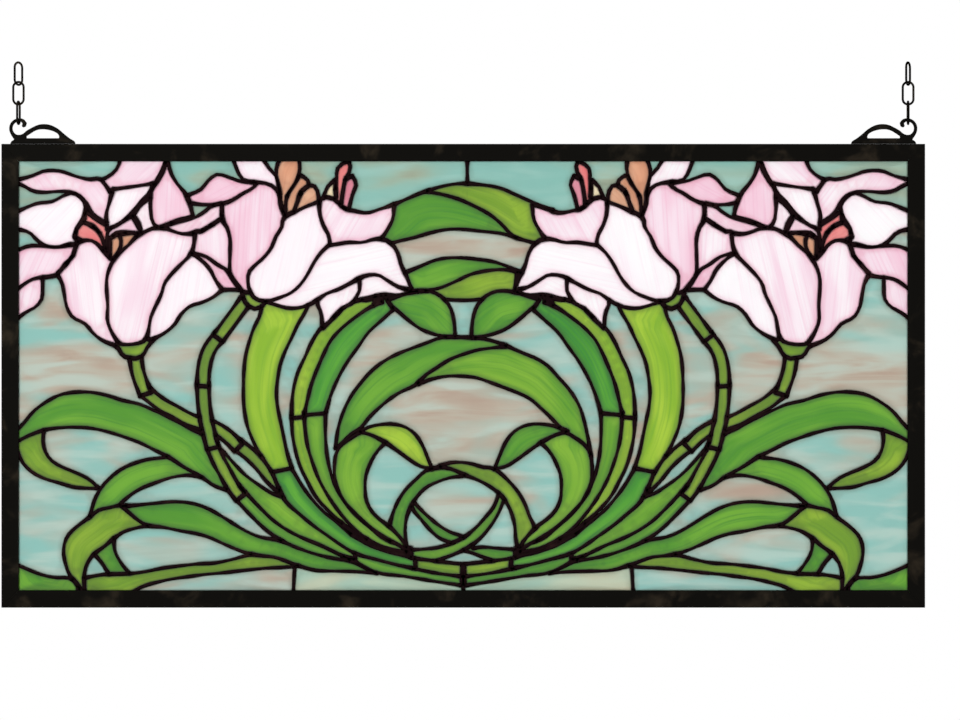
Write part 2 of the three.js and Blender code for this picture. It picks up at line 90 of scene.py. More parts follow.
def on_panel(points):
    """Squares to metres: x times the square's width, z times its height, above the lower channel."""
    return np.asarray(points) * (SQUARE_WIDE, SQUARE_HIGH) + (0, PANEL_BOTTOM + CHANNEL_FACE)


print("panel", PANEL_LEFT, PANEL_RIGHT, PANEL_BOTTOM, PANEL_TOP)

# %% [markdown]
# ## Curves through a few anchors
# Each piece of glass is drawn as a closed curve through a handful of anchor points. Between two
# anchors runs a cubic piece. Where the outline turns sharply, as at the tip of a petal, the anchor
# is a corner, and the pieces on its two sides don't bend into each other.

# %% Smooth outlines
CORNER_TURN = 1.0
TINY = 1e-12
PIECES = 5


def unit(vectors):
    """Each row divided by its own length."""
    return vectors / np.maximum(np.linalg.norm(vectors, axis=-1, keepdims=True), TINY)


def smooth_outline(flat):
    """Closed curve through anchors given as x, z, x, z and so on.

    A smooth anchor's tangent is the mean of its two chords, each weighted by the other's length.
    A cubic Hermite piece joins anchors p and q with tangents m and n: at a fraction t it is
    p (2 t^3 - 3 t^2 + 1) + m (t^3 - 2 t^2 + t) + q (3 t^2 - 2 t^3) + n (t^3 - t^2).
    """
    p = np.asarray(flat, float).reshape(-1, 2)
    arriving = p - np.roll(p, 1, axis=0)
    leaving = np.roll(arriving, -1, axis=0)
    before = np.linalg.norm(arriving, axis=1, keepdims=True)
    after = np.linalg.norm(leaving, axis=1, keepdims=True)
    mean = unit(unit(arriving) * after + unit(leaving) * before)
    turn = np.arccos(np.clip((unit(arriving) * unit(leaving)).sum(axis=1, keepdims=True), -1, 1))
    corner = turn > CORNER_TURN
    m = np.where(corner, unit(leaving), mean) * after
    n = np.roll(np.where(corner, unit(arriving), mean), -1, axis=0) * after
    q = np.roll(p, -1, axis=0)
    t = (np.arange(PIECES) / PIECES)[None, :, None]
    start = p[:, None] * (2 * t**3 - 3 * t**2 + 1) + m[:, None] * (t**3 - 2 * t**2 + t)
    end = q[:, None] * (3 * t**2 - 2 * t**3) + n[:, None] * (t**3 - t**2)
    return (start + end).reshape(-1, 2)


def left_of(along):
    """Each direction turned a quarter to the left: x, z becomes -z, x."""
    return np.stack([-along[:, 1], along[:, 0]], axis=1)


def run_along(line):
    """Distance of each point of a line from its first point, measured along the line."""
    return np.concatenate([[0], np.cumsum(np.linalg.norm(np.diff(line, axis=0), axis=1))])


def band(spine, widths):
    """Closed anchors round a band: half a width to each side of every spine point."""
    p = np.asarray(spine, float).reshape(-1, 2)
    side = left_of(unit(np.gradient(p, axis=0))) * np.asarray(widths, float)[:, None] / 2
    return np.concatenate([p + side, (p - side)[::-1]]).ravel()


def mirrored(flat):
    """The same anchors on the other side of the middle line."""
    return np.asarray(flat, float).reshape(-1, 2) * (-1, 1)


print("outline helper ready,", PIECES, "points to a piece")

# %% [markdown]
# ## The drawing, front pieces first
# The forms are listed from front to back, and a form keeps only what the ones before it leave
# free. A form may run on behind its neighbours, so no two outlines have to meet exactly.
# Every entry names the group it belongs to, its kind of glass and its anchors.
# These forms are drawn for the left half and mirrored to the right. Where the kind of glass is
# a pair, the first is for the left and the second for the right.

# %% Lilies of the left half
LILIES = [
    ("outer_lily_middle_petal", "blush", [
        -343.5, 246, -351, 258, -355, 268, -355, 286, -356, 299, -356, 312, -350.5, 328, -343.5, 337.5,
        -334.5, 345, -326, 354, -318, 358.5, -310, 362, -297, 362, -289.5, 359, -280.5, 356.5, -268, 357,
        -268.5, 349, -271.5, 337.5, -282, 326, -292, 315.5, -298.5, 306.5, -301, 297.5, -307.5, 283.5,
        -312, 273, -314, 262, -317, 251, -330, 246]),
    ("outer_lily_left_petal", "blush", [
        -384.5, 348, -389.5, 335, -397, 326, -405.5, 316, -401, 308, -398.5, 296.5, -396, 283.5, -391, 274,
        -377, 266, -369.5, 257, -361.5, 250.5, -347, 244.5, -335, 260, -340, 300, -342, 330, -351, 331,
        -363, 344, -370.5, 349.5, -378, 350]),
    ("outer_lily_right_petal", "white", [
        -271.5, 337, -262, 330.5, -253, 321, -247, 309.5, -240.5, 300.5, -250, 293, -260.5, 288, -273, 284,
        -281, 277, -289, 265, -298, 257.5, -312, 250, -325, 258, -318, 290, -300, 325]),
    ("outer_stem", "olive", [
        -347, 244.5, -343, 240, -340, 234.5, -336, 233, -320.5, 234, -316, 242, -309, 251, -318, 258,
        -342, 256]),
    ("inner_lily_left_petals", "pink", [
        -272, 337.5, -256.5, 333.5, -246, 326, -235, 319, -231, 311.5, -223, 300.5, -240.5, 300.5,
        -255, 300, -272, 320]),
    ("inner_lily_left_petals", "blush", [
        -268, 358.5, -262, 359, -252.5, 364.5, -242, 371.5, -236, 363, -233, 352, -233, 337, -233.5, 318,
        -250, 322, -272, 334, -276, 350]),
    ("outer_lily_upper_petals", "amber", [-353, 352, -344, 357, -342, 352, -347, 334, -352.5, 330]),
    ("outer_lily_upper_petals", "amber", [
        -343, 356, -336, 357.5, -324, 357, -334, 344, -347, 331, -345.5, 345]),
    ("outer_lily_upper_petals", "blush", [
        -353.5, 361, -345, 365.5, -337, 371, -330.5, 375, -327, 368, -322, 358, -330.5, 356.5, -339.5, 358,
        -348.5, 356.5, -351, 352, -350, 330, -356, 340, -356, 350]),
    ("outer_lily_back_petals", "pink", [
        -296, 433, -298.5, 421, -305, 409, -311.5, 400, -312.5, 389, -312, 378.5, -310, 368, -305, 362,
        -296, 365, -285.5, 370, -270, 374, -273.5, 388.5, -278, 397.5, -285.5, 406.5, -291, 415.5]),
    ("outer_lily_back_petals", "blush", [
        -300, 365, -282, 369, -270, 372, -260, 377.5, -250, 385, -241, 387, -241, 371, -251, 365.5,
        -259, 361, -267, 356, -285, 350, -300, 355]),
    ("outer_lily_back_petals", "white", [
        -312, 393.5, -323, 383.5, -330, 375, -324, 368, -321, 356, -305, 358, -300, 380]),
    ("outer_lily_upper_petals", "white", [
        -350, 401, -339.5, 402.5, -325, 404.5, -309, 407, -313, 398, -323, 388, -329, 380, -337, 371,
        -345, 365.5, -355.5, 361, -356.5, 376, -353, 389]),
    ("outer_lily_upper_petals", "coral", [
        -377, 379, -368, 372, -358, 366, -350, 362, -350, 345, -357, 341, -363, 357, -370.5, 364.5,
        -379, 368]),
    ("outer_lily_upper_petals", "coral", [
        -379, 369, -370.5, 364.5, -363, 357, -355, 338, -363, 342, -378, 348, -388, 353, -386, 361]),
    ("outer_lily_upper_petals", "blush", [
        -361, 410.5, -352, 415.5, -345, 423, -342, 435, -294, 435, -302, 418, -308, 406, -328, 404,
        -342, 401, -352, 398]),
    ("outer_lily_upper_petals", "blush", [
        -450, 409.5, -428, 415.5, -420, 419, -410, 420, -401, 419, -388, 414.5, -373, 411, -361, 411,
        -357, 406, -346, 399, -350, 389, -354, 376, -352, 366, -363, 371, -371.5, 378.5, -376, 387,
        -382, 394, -391, 398, -404, 399, -420, 398, -430, 399.5, -438, 404]),
    ("outer_lily_side_petals", "white", [
        -450, 377, -436, 383, -425.5, 387, -410, 389, -398.5, 395, -391, 397.5, -382, 392.5, -377, 385,
        -377, 378.5, -380.5, 371, -386.5, 362, -387, 353, -384, 346, -395, 345.5, -405, 343.5, -418, 345,
        -425.5, 350, -432, 357, -450, 362]),
    ("outer_lily_side_petals", "pink", [
        -450, 338, -433, 344.5, -420, 344.5, -405, 343, -395, 345, -384, 349, -389.5, 335, -397, 326,
        -405, 315.5, -414, 313.5, -430.5, 311, -439.5, 305.5, -450, 297]),
    ("outer_lily_side_petals", "blush", [
        -450, 301, -430, 314, -420, 314, -420, 301.5, -421, 291, -427, 283.5, -436, 278.5, -450, 268]),
    ("inner_lily_front_petal", "white", [
        -180, 371, -165, 380, -154, 385, -144, 388.5, -143, 375.5, -139.5, 364.5, -134.5, 355, -133, 346,
        -141, 339, -149, 328, -155.5, 316, -162, 306.5, -170.5, 298.5, -182.5, 293, -198.5, 289, -208, 292,
        -213, 299, -215, 308, -214, 318, -209, 324, -200, 332, -192, 342, -187, 354, -181, 364]),
    ("inner_lily_right_petals", "white", [
        -136, 345, -127, 346, -115, 348, -100, 348, -89.5, 351, -79, 351, -71, 346, -65.5, 337.5,
        -62, 325.5, -57, 315, -51.5, 300.5, -62.5, 302.5, -76, 310, -84, 315, -96, 315, -111, 308,
        -124.5, 301, -138, 296, -146, 290, -158, 284, -173, 282, -189, 286, -203, 291, -190, 300,
        -160, 320, -145, 345]),
    ("inner_lily_right_petals", "blush", [
        -143, 391, -135.5, 393.5, -127, 390, -119, 382, -108.5, 379.5, -96, 377.5, -84, 381, -69, 386,
        -70.5, 371, -75, 362, -84, 350, -100, 346, -120, 345, -138, 342, -146, 360]),
    ("inner_lily_right_petals", "white", [
        -104, 312, -96, 319, -84, 319, -72, 309, -53, 298.5, -60.5, 296, -81.5, 295, -95, 292.5, -109, 289,
        -103, 302.5]),
    ("inner_lily_right_petals", "white", [
        -146, 290, -138, 300, -124.5, 303, -103, 312, -102, 302.5, -109, 289, -122, 281, -132.5, 269.5,
        -140.5, 262, -142, 277]),
    ("inner_lily_upper_petals", "pink", [
        -284, 390, -274, 395.5, -262, 401, -254, 410.5, -246, 416, -235, 413.5, -224, 409.5, -206, 407.5,
        -209.5, 403, -220, 397, -231, 390, -243, 386, -256.5, 385.5, -276, 388]),
    ("inner_lily_upper_petals", "white", [
        -231, 436, -226, 421, -220, 411, -209.5, 408.5, -197, 407, -189, 403.5, -183, 396, -185, 406,
        -187, 414.5, -193, 421, -202, 436]),
    ("inner_lily_left_petals", "pink", [
        -244, 386, -231, 392, -220, 399, -205, 410, -192, 407, -184, 398, -183, 385, -178, 375, -178, 366,
        -183, 350, -190, 335, -205, 322, -211, 310, -211, 298, -221, 299, -223, 302.5, -231, 313.5,
        -235, 321.5, -236, 352, -240, 372]),
    ("inner_stem", "olive", [
        -221, 299.5, -212, 302, -205, 294, -198, 288.5, -202.5, 282.5, -212, 282.5, -219, 290.5]),
    ("inner_lily_stamens", "amber", [
        -187, 420, -181, 436, -164.5, 436, -163.5, 418.5, -166.5, 410, -176, 394, -178, 374, -182.5, 390,
        -184, 404]),
    ("inner_lily_stamens", "amber", [
        -163.5, 415.5, -155.5, 410.5, -154, 405, -161, 399.5, -166.5, 386, -171, 376, -179, 374, -176, 394,
        -167.5, 407.5]),
    ("inner_lily_stamens", "amber", [
        -154, 405.5, -147.5, 403.5, -145, 397, -144, 386, -155, 382, -173, 374, -166.5, 387, -161, 399.5]),
    ("inner_lily_stamens", "cream", [
        -128, 410.5, -135.5, 403.5, -139, 394.5, -133, 391, -127, 393]),
    ("inner_lily_stamens", "coral", [
        -125.5, 422, -115, 430, -112.5, 422.5, -117.5, 411.5, -120, 400, -122, 386, -128.5, 390,
        -127.5, 400, -126.5, 411]),
    ("inner_lily_stamens", "rose", [
        -111, 414.5, -107, 407.5, -110.5, 396, -114.5, 380, -123, 385, -120.5, 398, -118, 410]),
]
print(len(LILIES), "lily pieces")

# %% [markdown]
# Leaves are drawn in lengths: a long leaf is cut across in one or two places, as a glazier cuts
# glass that would otherwise break. The stems are bands of even width along a spine. The last
# form is no glass: solder fills what the leaves leave free where they close up.

# %% Leaves and stems of the left half
STEM = 12
INNER_STEM = [
    [-217, 290, -231, 271, -245, 252],
    [-243, 255, -254, 240, -259, 222, -260, 204],
    [-260, 207, -259, 186, -256, 166, -250, 142],
    [-251, 146, -246, 133, -237.5, 117, -229, 102, -222, 93],
    [-223, 95, -207, 78, -194, 65.5, -179, 55, -160, 46, -145, 40.5, -128, 34.5, -113, 30],
]
OUTER_STEM = [
    [-328, 238, -325, 218, -317, 196],
    [-318, 199, -303, 187, -287, 178, -271, 169.5, -250, 163, -238, 156, -224, 143],
    [-226, 146, -212, 135, -202, 125, -192, 111, -184, 98],
]
LEAVES = [
    ("tall_leaf", "lime", [
        -202, 294, -202.5, 277, -209.5, 261.5, -214, 248, -217.5, 234, -219, 220, -219.5, 205,
        -219.5, 190.5, -218, 175.5, -215, 162, -210, 149.5, -204, 137, -197, 127, -191, 118, -171, 122,
        -176, 138, -179, 152, -182.5, 169, -185.5, 184, -186.5, 198.5, -185, 213, -182.5, 226.5,
        -178.5, 237.5, -171.5, 252, -165, 266, -157, 280, -152, 294]),
    ("tall_leaf", "deep", [
        -192, 121, -184, 101.5, -177, 88.5, -163.5, 76, -149, 64, -135.5, 54.5, -122, 45, -108.5, 37,
        -88, 31, -60.5, 24, -47.5, 21.5, -48, 31.5, -60.5, 35, -75, 38, -88, 42.5, -101.5, 49, -115, 58.5,
        -128.5, 69.5, -141, 80, -153, 93.5, -162, 106, -171, 121, -181, 132]),
    ("tall_leaf", "olive", [-51, 22, -30, 17.5, -1, 13.5, -1, 26, -26.5, 29, -51, 32]),
    *[("inner_stem", "olive", band(run, [STEM] * (len(run) // 2))) for run in INNER_STEM[:4]],
    ("inner_stem", "leaf", band(INNER_STEM[4], [STEM, STEM, STEM, STEM, 11, 10, 6, 1])),
    *[("outer_stem", "olive", band(run, [STEM] * (len(run) // 2))) for run in OUTER_STEM[:2]],
    ("outer_stem", "olive", band(OUTER_STEM[2], [STEM, STEM, STEM, 10, 2])),
    ("broad_leaf", "leaf", [
        -452, 152, -439, 167, -429, 179, -415.5, 189, -402.5, 195.5, -389, 198, -372, 198, -356, 195,
        -340.5, 190, -323, 186, -307, 179, -290, 171, -275.5, 163, -255, 152, -240, 128, -236, 100,
        -248, 104, -261, 113, -279.5, 123.5, -294, 133, -307, 139.5, -323, 147.5, -336.5, 152.5,
        -353.5, 158, -372, 162, -389, 163, -402.5, 162.5, -417, 160.5, -433, 155, -452, 145]),
    ("broad_leaf", "olive", [
        -452, 152, -446, 140, -443, 133, -438, 125, -429, 117, -418, 111.5, -402.5, 107, -389, 103,
        -377, 102, -363, 101.5, -374.5, 111.5, -388, 118, -401, 123.5, -411.5, 130, -417, 138,
        -419.5, 148.5, -418, 164, -435, 162]),
    ("drooping_leaf", "leaf", [
        -341, 84, -327, 85, -307, 87, -290, 88.5, -271.5, 87, -257, 82.5, -243, 75, -229.5, 66.5,
        -216, 58.5, -202.5, 53, -186.5, 50.5, -176, 48, -162, 42.5, -149, 37.5, -128.5, 32.5, -112, 29,
        -98, 22, -86, 17, -110, 18.6, -128.5, 19, -149, 20, -169, 26, -189, 33, -202.5, 34.5, -216, 37,
        -229.5, 42, -243, 48, -250.5, 51.5, -264, 56, -281, 59, -300.5, 63, -317.5, 65.5, -326, 71,
        -333, 77]),
    ("drooping_leaf", "olive", [
        -338, 85, -353.5, 82.5, -364, 80, -374.5, 72, -386.5, 63, -394.5, 55, -398.5, 45.5, -399, 35,
        -397, 26, -393, 15, -386.5, 7, -378, -6, -378.5, 8, -378, 18, -374.5, 28.5, -368, 36.5,
        -357.5, 44.5, -348.5, 52, -337.5, 59, -327, 62, -312, 65, -320, 75]),
    ("arched_leaf", "leaf", [
        -373, 73, -367, 93, -361.5, 102.5, -353.5, 111.5, -341.5, 121, -327, 127.5, -314, 131,
        -300.5, 132.5, -286, 135, -268, 122, -258, 112, -274, 115, -290, 113, -307, 107.5, -323, 101,
        -335, 93, -346, 82, -355, 72]),
    ("bottom_leaf", "olive", [
        -382, 11.5, -360, 15.5, -334, 16.5, -320.5, 18, -300.5, 22, -281, 24.5, -261, 26.5, -250, 27,
        -229.5, 31, -210, 36, -180, 32, -160, 25, -176, 23, -196, 22, -216, 20, -243, 17, -254.5, 16,
        -274, 13.5, -294, 10.5, -307, 7.5, -320.5, 3.5, -338, -7, -384, -7]),
    ("bottom_leaf", "leaf", [
        -452, 28, -443.5, 24.5, -433, 20, -419.5, 15, -406.5, 12.5, -393, 12, -384, 7, -384, -8, -452, -8]),
    ("low_leaf", "leaf", [
        -371, 39, -360, 26, -350, 12, -329, 12, -341.5, 27, -347.5, 38, -349, 56, -361, 50]),
    ("long_leaf", "fresh", [
        -252, 149, -240, 139, -230, 128, -219, 116.5, -203, 104.5, -189, 96, -176, 92, -150, 72, -120, 52,
        -109, 42, -108, 31, -122, 34.5, -135.5, 38.5, -153, 46.5, -173, 57, -188, 66.5, -200, 76,
        -212, 88.5, -220, 100.5, -229.5, 111, -238, 122, -248, 136]),
    ("long_leaf", "leaf", [
        -110, 42, -80, 34, -50, 27, -1, 19, -1, 4.5, -30, 9, -60, 14, -88, 18.2, -98, 23, -110, 32]),
    ("paired_leaves", "deep", [
        -82, 297, -81, 288, -90, 284.5, -108.5, 272.5, -122, 261.5, -131.5, 251, -139.5, 236, -146, 221,
        -151.5, 206.5, -155.5, 190.5, -159, 175, -137.5, 177, -135.5, 184, -131.5, 197, -124.5, 213,
        -115, 229.5, -104.5, 244, -95, 257.5, -81.5, 270, -69.5, 281, -75, 289, -79, 298]),
    ("paired_leaves", "fresh", [
        -159, 178, -158, 162, -155.5, 144.5, -150, 126, -143.5, 109.5, -135.5, 95, -124.5, 79, -108.5, 61,
        -95, 50.5, -81.5, 44, -68, 40, -56, 37.5, -60.5, 42.5, -81.5, 53, -95, 64, -108.5, 76, -119, 88.5,
        -126, 100.5, -130, 110, -134, 124.5, -136.5, 139, -137.5, 152.5, -137.5, 180]),
    ("paired_leaves", "lime", [
        -86, 296, -89, 292, -114, 290, -123, 279, -132.5, 270, -143.5, 260.5, -151.5, 248, -158, 233.5,
        -165, 218.5, -169, 204, -171, 189, -171.5, 172, -150, 174, -145, 195, -138, 215, -125, 240,
        -100, 262]),
    ("paired_leaves", "lime", [
        -171.5, 175, -170.5, 155.5, -167.5, 139, -162, 121.5, -155.5, 108.5, -149, 96, -135.5, 80,
        -122, 68, -107, 57, -96, 50, -100, 62, -118, 82, -133, 105, -145, 135, -150, 160, -150, 176]),
    ("curling_leaf", ("lime", "leaf"), [
        -104, 159, -91.5, 164, -80, 166, -68, 166, -56.5, 162.5, -48, 156, -41.5, 146.5, -36.5, 135,
        -31, 121, -43, 124, -55, 131.5, -68, 141, -81.5, 150, -91.5, 155]),
    ("curling_leaf", "fresh", [
        -99, 159, -111.5, 152.5, -120, 146.5, -126.5, 138, -128.5, 126.5, -128.5, 113, -126, 103,
        -119, 89.5, -108.5, 77.5, -98, 67.5, -88, 59.5, -75, 50.5, -63, 43, -56, 38.5, -59.5, 48, -66, 56,
        -74, 64, -83, 70.5, -91.5, 79, -96.5, 89, -98, 101.5, -97.5, 113, -93, 126.5, -86.5, 138, -76, 149,
        -85, 157]),
    ("solder_gap", "solder", [
        -122, 66, -100, 46, -75, 33, -52, 28, -52, 42, -72, 46, -95, 56, -116, 74]),
]
print(len(LEAVES), "leaf pieces")

# %% [markdown]
# Most middle forms aren't mirrored: two bands cross at the top of the ring, one ribbon lies over
# the other inside it, and the left arch leaf runs on over the right one. Only the small heart
# leaves and the strips along the bottom are pairs. The last entries divide the background, which
# is whatever the forms leave free.

# %% Middle forms and background
HEART_LEAF = [
    -82.5, 289, -67, 293, -54, 297.5, -42, 299.5, -31, 298.5, -21, 293, -13.5, 284, -9.5, 271,
    -8, 252, -27, 255.5, -42, 261, -56, 271, -69, 282]
LOW_STRIP = [-168, 28, -170, -8, 0, -8, 0, 14, -60, 18, -105, 30, -130, 33]
MIDDLE = [
    ("ring", "olive", [
        -24, 124, -13, 127.5, -3, 128, 8, 126.5, 20, 123, 30, 122, 36.5, 117.5, 46.5, 108, 55, 98,
        61.5, 86.5, 66.5, 73, 72, 60, 64, 44, 56, 38, 52.5, 50, 51.5, 64, 48.5, 76, 43.5, 87, 37, 95.5,
        26, 104, 15, 110, 2, 115, -10, 120.5]),
    ("ring", "leaf", [
        4, 122, -26.5, 122.5, -36.5, 120, -46.5, 111.5, -58, 100, -66.5, 86.5, -71.5, 73, -74, 62, -64, 44,
        -56, 38, -58, 61.5, -56.5, 73, -51.5, 85, -45, 95, -36.5, 103, -26.5, 108, -13, 112.5, -2, 114,
        8, 117]),
    ("ribbon", "fresh", [
        46, 98, 40, 88, 35, 76.5, 26.5, 63, 15, 50, 3, 41.5, -10, 35.5, -22, 31, -32, 28, -44, 29, -56, 33,
        -60, 40, -40, 41, -26.5, 42.5, -11.5, 47, 1.5, 53.5, 13, 63, 22.5, 73.5, 30.5, 83.5, 36, 98]),
    ("ribbon", "leaf", [
        -54, 94, -46.5, 85, -36.5, 75, -26.5, 66.5, -13, 58, 0, 53, 6, 47, 10, 42, 16.5, 43, 33, 42,
        58, 40, 57, 34, 45, 29, 34, 28, 22, 32, 8, 37.5, 0, 40, -13, 47.5, -23, 51.5, -33, 60, -41.5, 70,
        -52, 84]),
    ("arch_leaves", "leaf", [
        -127.5, 142, -125, 161.5, -120, 178, -111.5, 195, -103, 206.5, -93, 218, -83, 226.5, -66.5, 236,
        -50, 242.5, -36.5, 247.5, -23, 252.5, 0, 253, 23, 251, 36.5, 247, 44, 244, 30, 242.5, 13, 240,
        0, 236, -13, 231, -26.5, 222.5, -36.5, 216, -48, 205, -63, 198, -73, 191.5, -85, 181.5, -95, 171.5,
        -101.5, 163, -111.5, 156.5, -120, 148]),
    ("arch_leaves", "fresh", [
        42, 245, 50, 241.5, 61.5, 236.5, 71.5, 232.5, 85, 224, 95, 213, 106.5, 200, 116.5, 183,
        121.5, 166.5, 125, 150, 127.5, 135, 120, 140, 108, 150, 100, 158, 90, 170, 78, 181.5, 66.5, 191.5,
        53, 198, 40, 203, 26.5, 208, 13, 212.5, 0, 214, -16.5, 214, -30, 211.5, -46, 206, -30, 225, 0, 240,
        25, 245]),
    ("heart_leaves", "leaf", [
        -62, 316, -42, 324.5, -27, 330.5, -15, 332.5, 0, 332.5, 15, 331, 31, 328.5, 44, 324, 62, 316,
        44, 320.5, 23, 319.5, 7.5, 316, -7.5, 309, -23, 302.5, -34.5, 300, -55, 299]),
    ("heart_leaves", "leaf", HEART_LEAF),
    ("heart_leaves", "leaf", mirrored(HEART_LEAF)),
    ("heart_leaves", "olive", [
        54, 319, 51, 298, 42, 297, 31, 297, 21, 291, 15, 290.5, -15, 290.5, -21, 291, -31, 297, -42, 298,
        -52, 298, -45, 310, -20, 325, 20, 328]),
    ("top_arch", "olive", [
        -37, 399, -27, 402.5, -11.5, 406, 0, 407, 15, 406, 36.5, 402.5, 54, 395, 73, 386.5, 90, 380,
        90, 340, 67, 348.5, 50, 354, 38.5, 366, 27, 375.5, 11.5, 384, -4, 391, -19, 395.5]),
    ("top_arch", "leaf", [
        -90, 376, -71, 385, -57.5, 391, -42, 397.5, -34, 400, -15, 398, 10, 388, 40, 368, 54, 352, 42, 356,
        19, 359, 0, 361, -15, 361, -31, 358, -50, 352.5, -67, 348.5, -90, 340]),
    ("top_background", "teal", [-117, 440, -117, 374, -71, 376, -20, 392, 4, 392, 4, 440]),
    ("top_background", "teal", [117, 440, 117, 374, 71, 376, 30, 392, 4, 392, 4, 440]),
    ("low_background", "cream_opal", LOW_STRIP),
    ("low_background", "cream_opal", mirrored(LOW_STRIP)),
]


def both_sides(forms):
    """Every form of the list on the left and, mirrored, on the right."""
    for group, kind, flat in forms:
        kinds = kind if isinstance(kind, tuple) else (kind, kind)
        yield f"{group}_left", kinds[0], smooth_outline(flat)
        yield f"{group}_right", kinds[1], smooth_outline(mirrored(flat))


forms = [*both_sides(LILIES), *both_sides(LEAVES)]
forms += [(group, kind, smooth_outline(flat)) for group, kind, flat in MIDDLE]
print(len(forms), "forms,", sum(len(form[2]) for form in forms), "outline points")

# %% [markdown]
# ## From overlapping forms to tiles
# All outlines go into one flat triangulation, together with the panel's edge. A loose grid of
# points and rows of points on both sides of each outline keep the triangles small. The halo is
# the distance between such rows, and also the width of the painted shade along a tile's rim.
# Each triangle belongs to the first form that holds its centre. Triangles of one form that touch
# make one tile, and the edges between different forms are the lead lines.

# %% Triangulation
GRID = 9
HALO = 8
WELD = 0.02
EDGE_X = SQUARES_WIDE / 2 + OVERRUN
EDGE_LOW = -OVERRUN
EDGE_HIGH = SQUARES_HIGH + OVERRUN


def inside(points, outline):
    """True where a ray to the right crosses the closed outline an odd number of times."""
    x0, z0 = outline.T
    x1, z1 = np.roll(outline, -1, axis=0).T
    x, z = points[:, :1], points[:, 1:]
    crosses = (z0 > z) != (z1 > z)
    rise = np.where(z1 == z0, 1, z1 - z0)
    return (crosses & (x < x0 + (z - z0) * (x1 - x0) / rise)).sum(axis=1) % 2 == 1


def edges_of(corners):
    """The three edges of every triangle as pairs of point numbers, in the triangle's own turn."""
    return np.stack([corners, np.roll(corners, -1, axis=1)], axis=2).reshape(-1, 2)


def areas_of(spots):
    """Signed areas: half of one side's x times the other side's z, less z times x."""
    one, two = spots[:, 1] - spots[:, 0], spots[:, 2] - spots[:, 0]
    return (one[:, 0] * two[:, 1] - one[:, 1] * two[:, 0]) / 2


def triangulate(outlines, loose, weld):
    """Points and counterclockwise triangles of all the outlines' edges taken together.

    The triangulation fills the convex hull, which Blender calls output type 0.
    """
    points = np.concatenate([*outlines, loose])
    edges = []
    first = 0
    for outline in outlines:
        index = first + np.arange(len(outline))
        edges.append(np.stack([index, np.roll(index, -1)], axis=1))
        first += len(outline)
    found = delaunay_2d_cdt(points.tolist(), np.concatenate(edges).tolist(), [], 0, weld, True)
    flat = np.array([tuple(v) for v in found[0]])
    corners = np.array(found[2])
    clockwise = areas_of(flat[corners]) < 0
    corners[clockwise] = corners[clockwise][:, ::-1]
    return flat, corners


def first_form(points, outlines):
    """Index of the first outline that holds each point, or the number of outlines if none does."""
    top = np.full(len(points), len(outlines))
    for index in reversed(range(len(outlines))):
        low, high = outlines[index].min(axis=0), outlines[index].max(axis=0)
        near = np.flatnonzero(((points >= low) & (points <= high)).all(axis=1))
        top[near[inside(points[near], outlines[index])]] = index
    return top


border = np.array([[-EDGE_X, EDGE_LOW], [EDGE_X, EDGE_LOW], [EDGE_X, EDGE_HIGH], [-EDGE_X, EDGE_HIGH]])
grid_x, grid_z = np.meshgrid(np.arange(-EDGE_X + GRID, EDGE_X, GRID), np.arange(GRID, SQUARES_HIGH, GRID))
grid_x = grid_x + (np.arange(len(grid_x)) % 2)[:, None] * GRID / 2 - GRID / 4
outlines = [form[2] for form in forms]
beside = []
for outline in outlines:
    normal = left_of(unit(np.roll(outline, -1, axis=0) - np.roll(outline, 1, axis=0)))
    beside += [outline + HALO / 2 * normal, outline - HALO / 2 * normal]
loose = np.concatenate([np.stack([grid_x.ravel(), grid_z.ravel()], axis=1), *beside])
points, corners = triangulate([*outlines, border], loose, WELD)
centres = points[corners].mean(axis=1)
within = (np.abs(centres[:, 0]) < EDGE_X) & (centres[:, 1] > EDGE_LOW) & (centres[:, 1] < EDGE_HIGH)
corners = corners[within]
top = first_form(centres[within], outlines)
print(len(points), "points,", len(corners), "triangles")

# %% Tiles and lead lines
def edge_pairs(corners):
    """Every inner edge as two points, and the two triangles on its sides."""
    ends = np.sort(edges_of(corners), axis=1)
    owner = np.repeat(np.arange(len(corners)), 3)
    order = np.lexsort((ends[:, 1], ends[:, 0]))
    ends, owner = ends[order], owner[order]
    twin = np.flatnonzero((ends[1:] == ends[:-1]).all(axis=1))
    return ends[twin], owner[twin], owner[twin + 1]


def connected(count, a, b):
    """Labels of groups: each link passes on the lower label until nothing changes."""
    label = np.arange(count)
    while True:
        before = label.copy()
        low = np.minimum(label[a], label[b])
        np.minimum.at(label, a, low)
        np.minimum.at(label, b, low)
        label = label[label]
        if (label == before).all():
            return label


def outline_loops(corners):
    """The closed outlines of a patch of triangles, each a list of point numbers."""
    known = set(map(tuple, edges_of(corners).tolist()))
    following = {a: b for a, b in known if (b, a) not in known}
    loops = []
    while following:
        start, step = following.popitem()
        loop = [start]
        while step != start and step in following:
            loop.append(step)
            step = following.pop(step)
        loops.append(loop)
    return loops


edge_ends, one_side, other_side = edge_pairs(corners)
is_seam = top[one_side] != top[other_side]
label = connected(len(corners), one_side[~is_seam], other_side[~is_seam])
seam_edges = edge_ends[is_seam]
print(len(np.unique(label)), "areas,", len(seam_edges), "edges of lead line")

# %% [markdown]
# ## Grain of the glass
# Streaks run straight through a petal, a little steeper than the line through its tips, and bend
# with a leaf. To get coordinates that follow a leaf, the tile's outline is split at the two points
# that lie farthest apart. A point's place across the tile comes from its distances to the two
# sides, and its place along it from the nearest points on them. In the background the streaks
# lie level.

# %% Grain coordinates
PETAL_KINDS = ("white", "blush", "pink")
STEEPER = 0.35


def nearest(places, side):
    """Distance to the nearest point of a side, and that point's place along it in squares."""
    away = np.linalg.norm(places[:, None] - side[None], axis=2)
    return away.min(axis=1), run_along(side)[away.argmin(axis=1)]


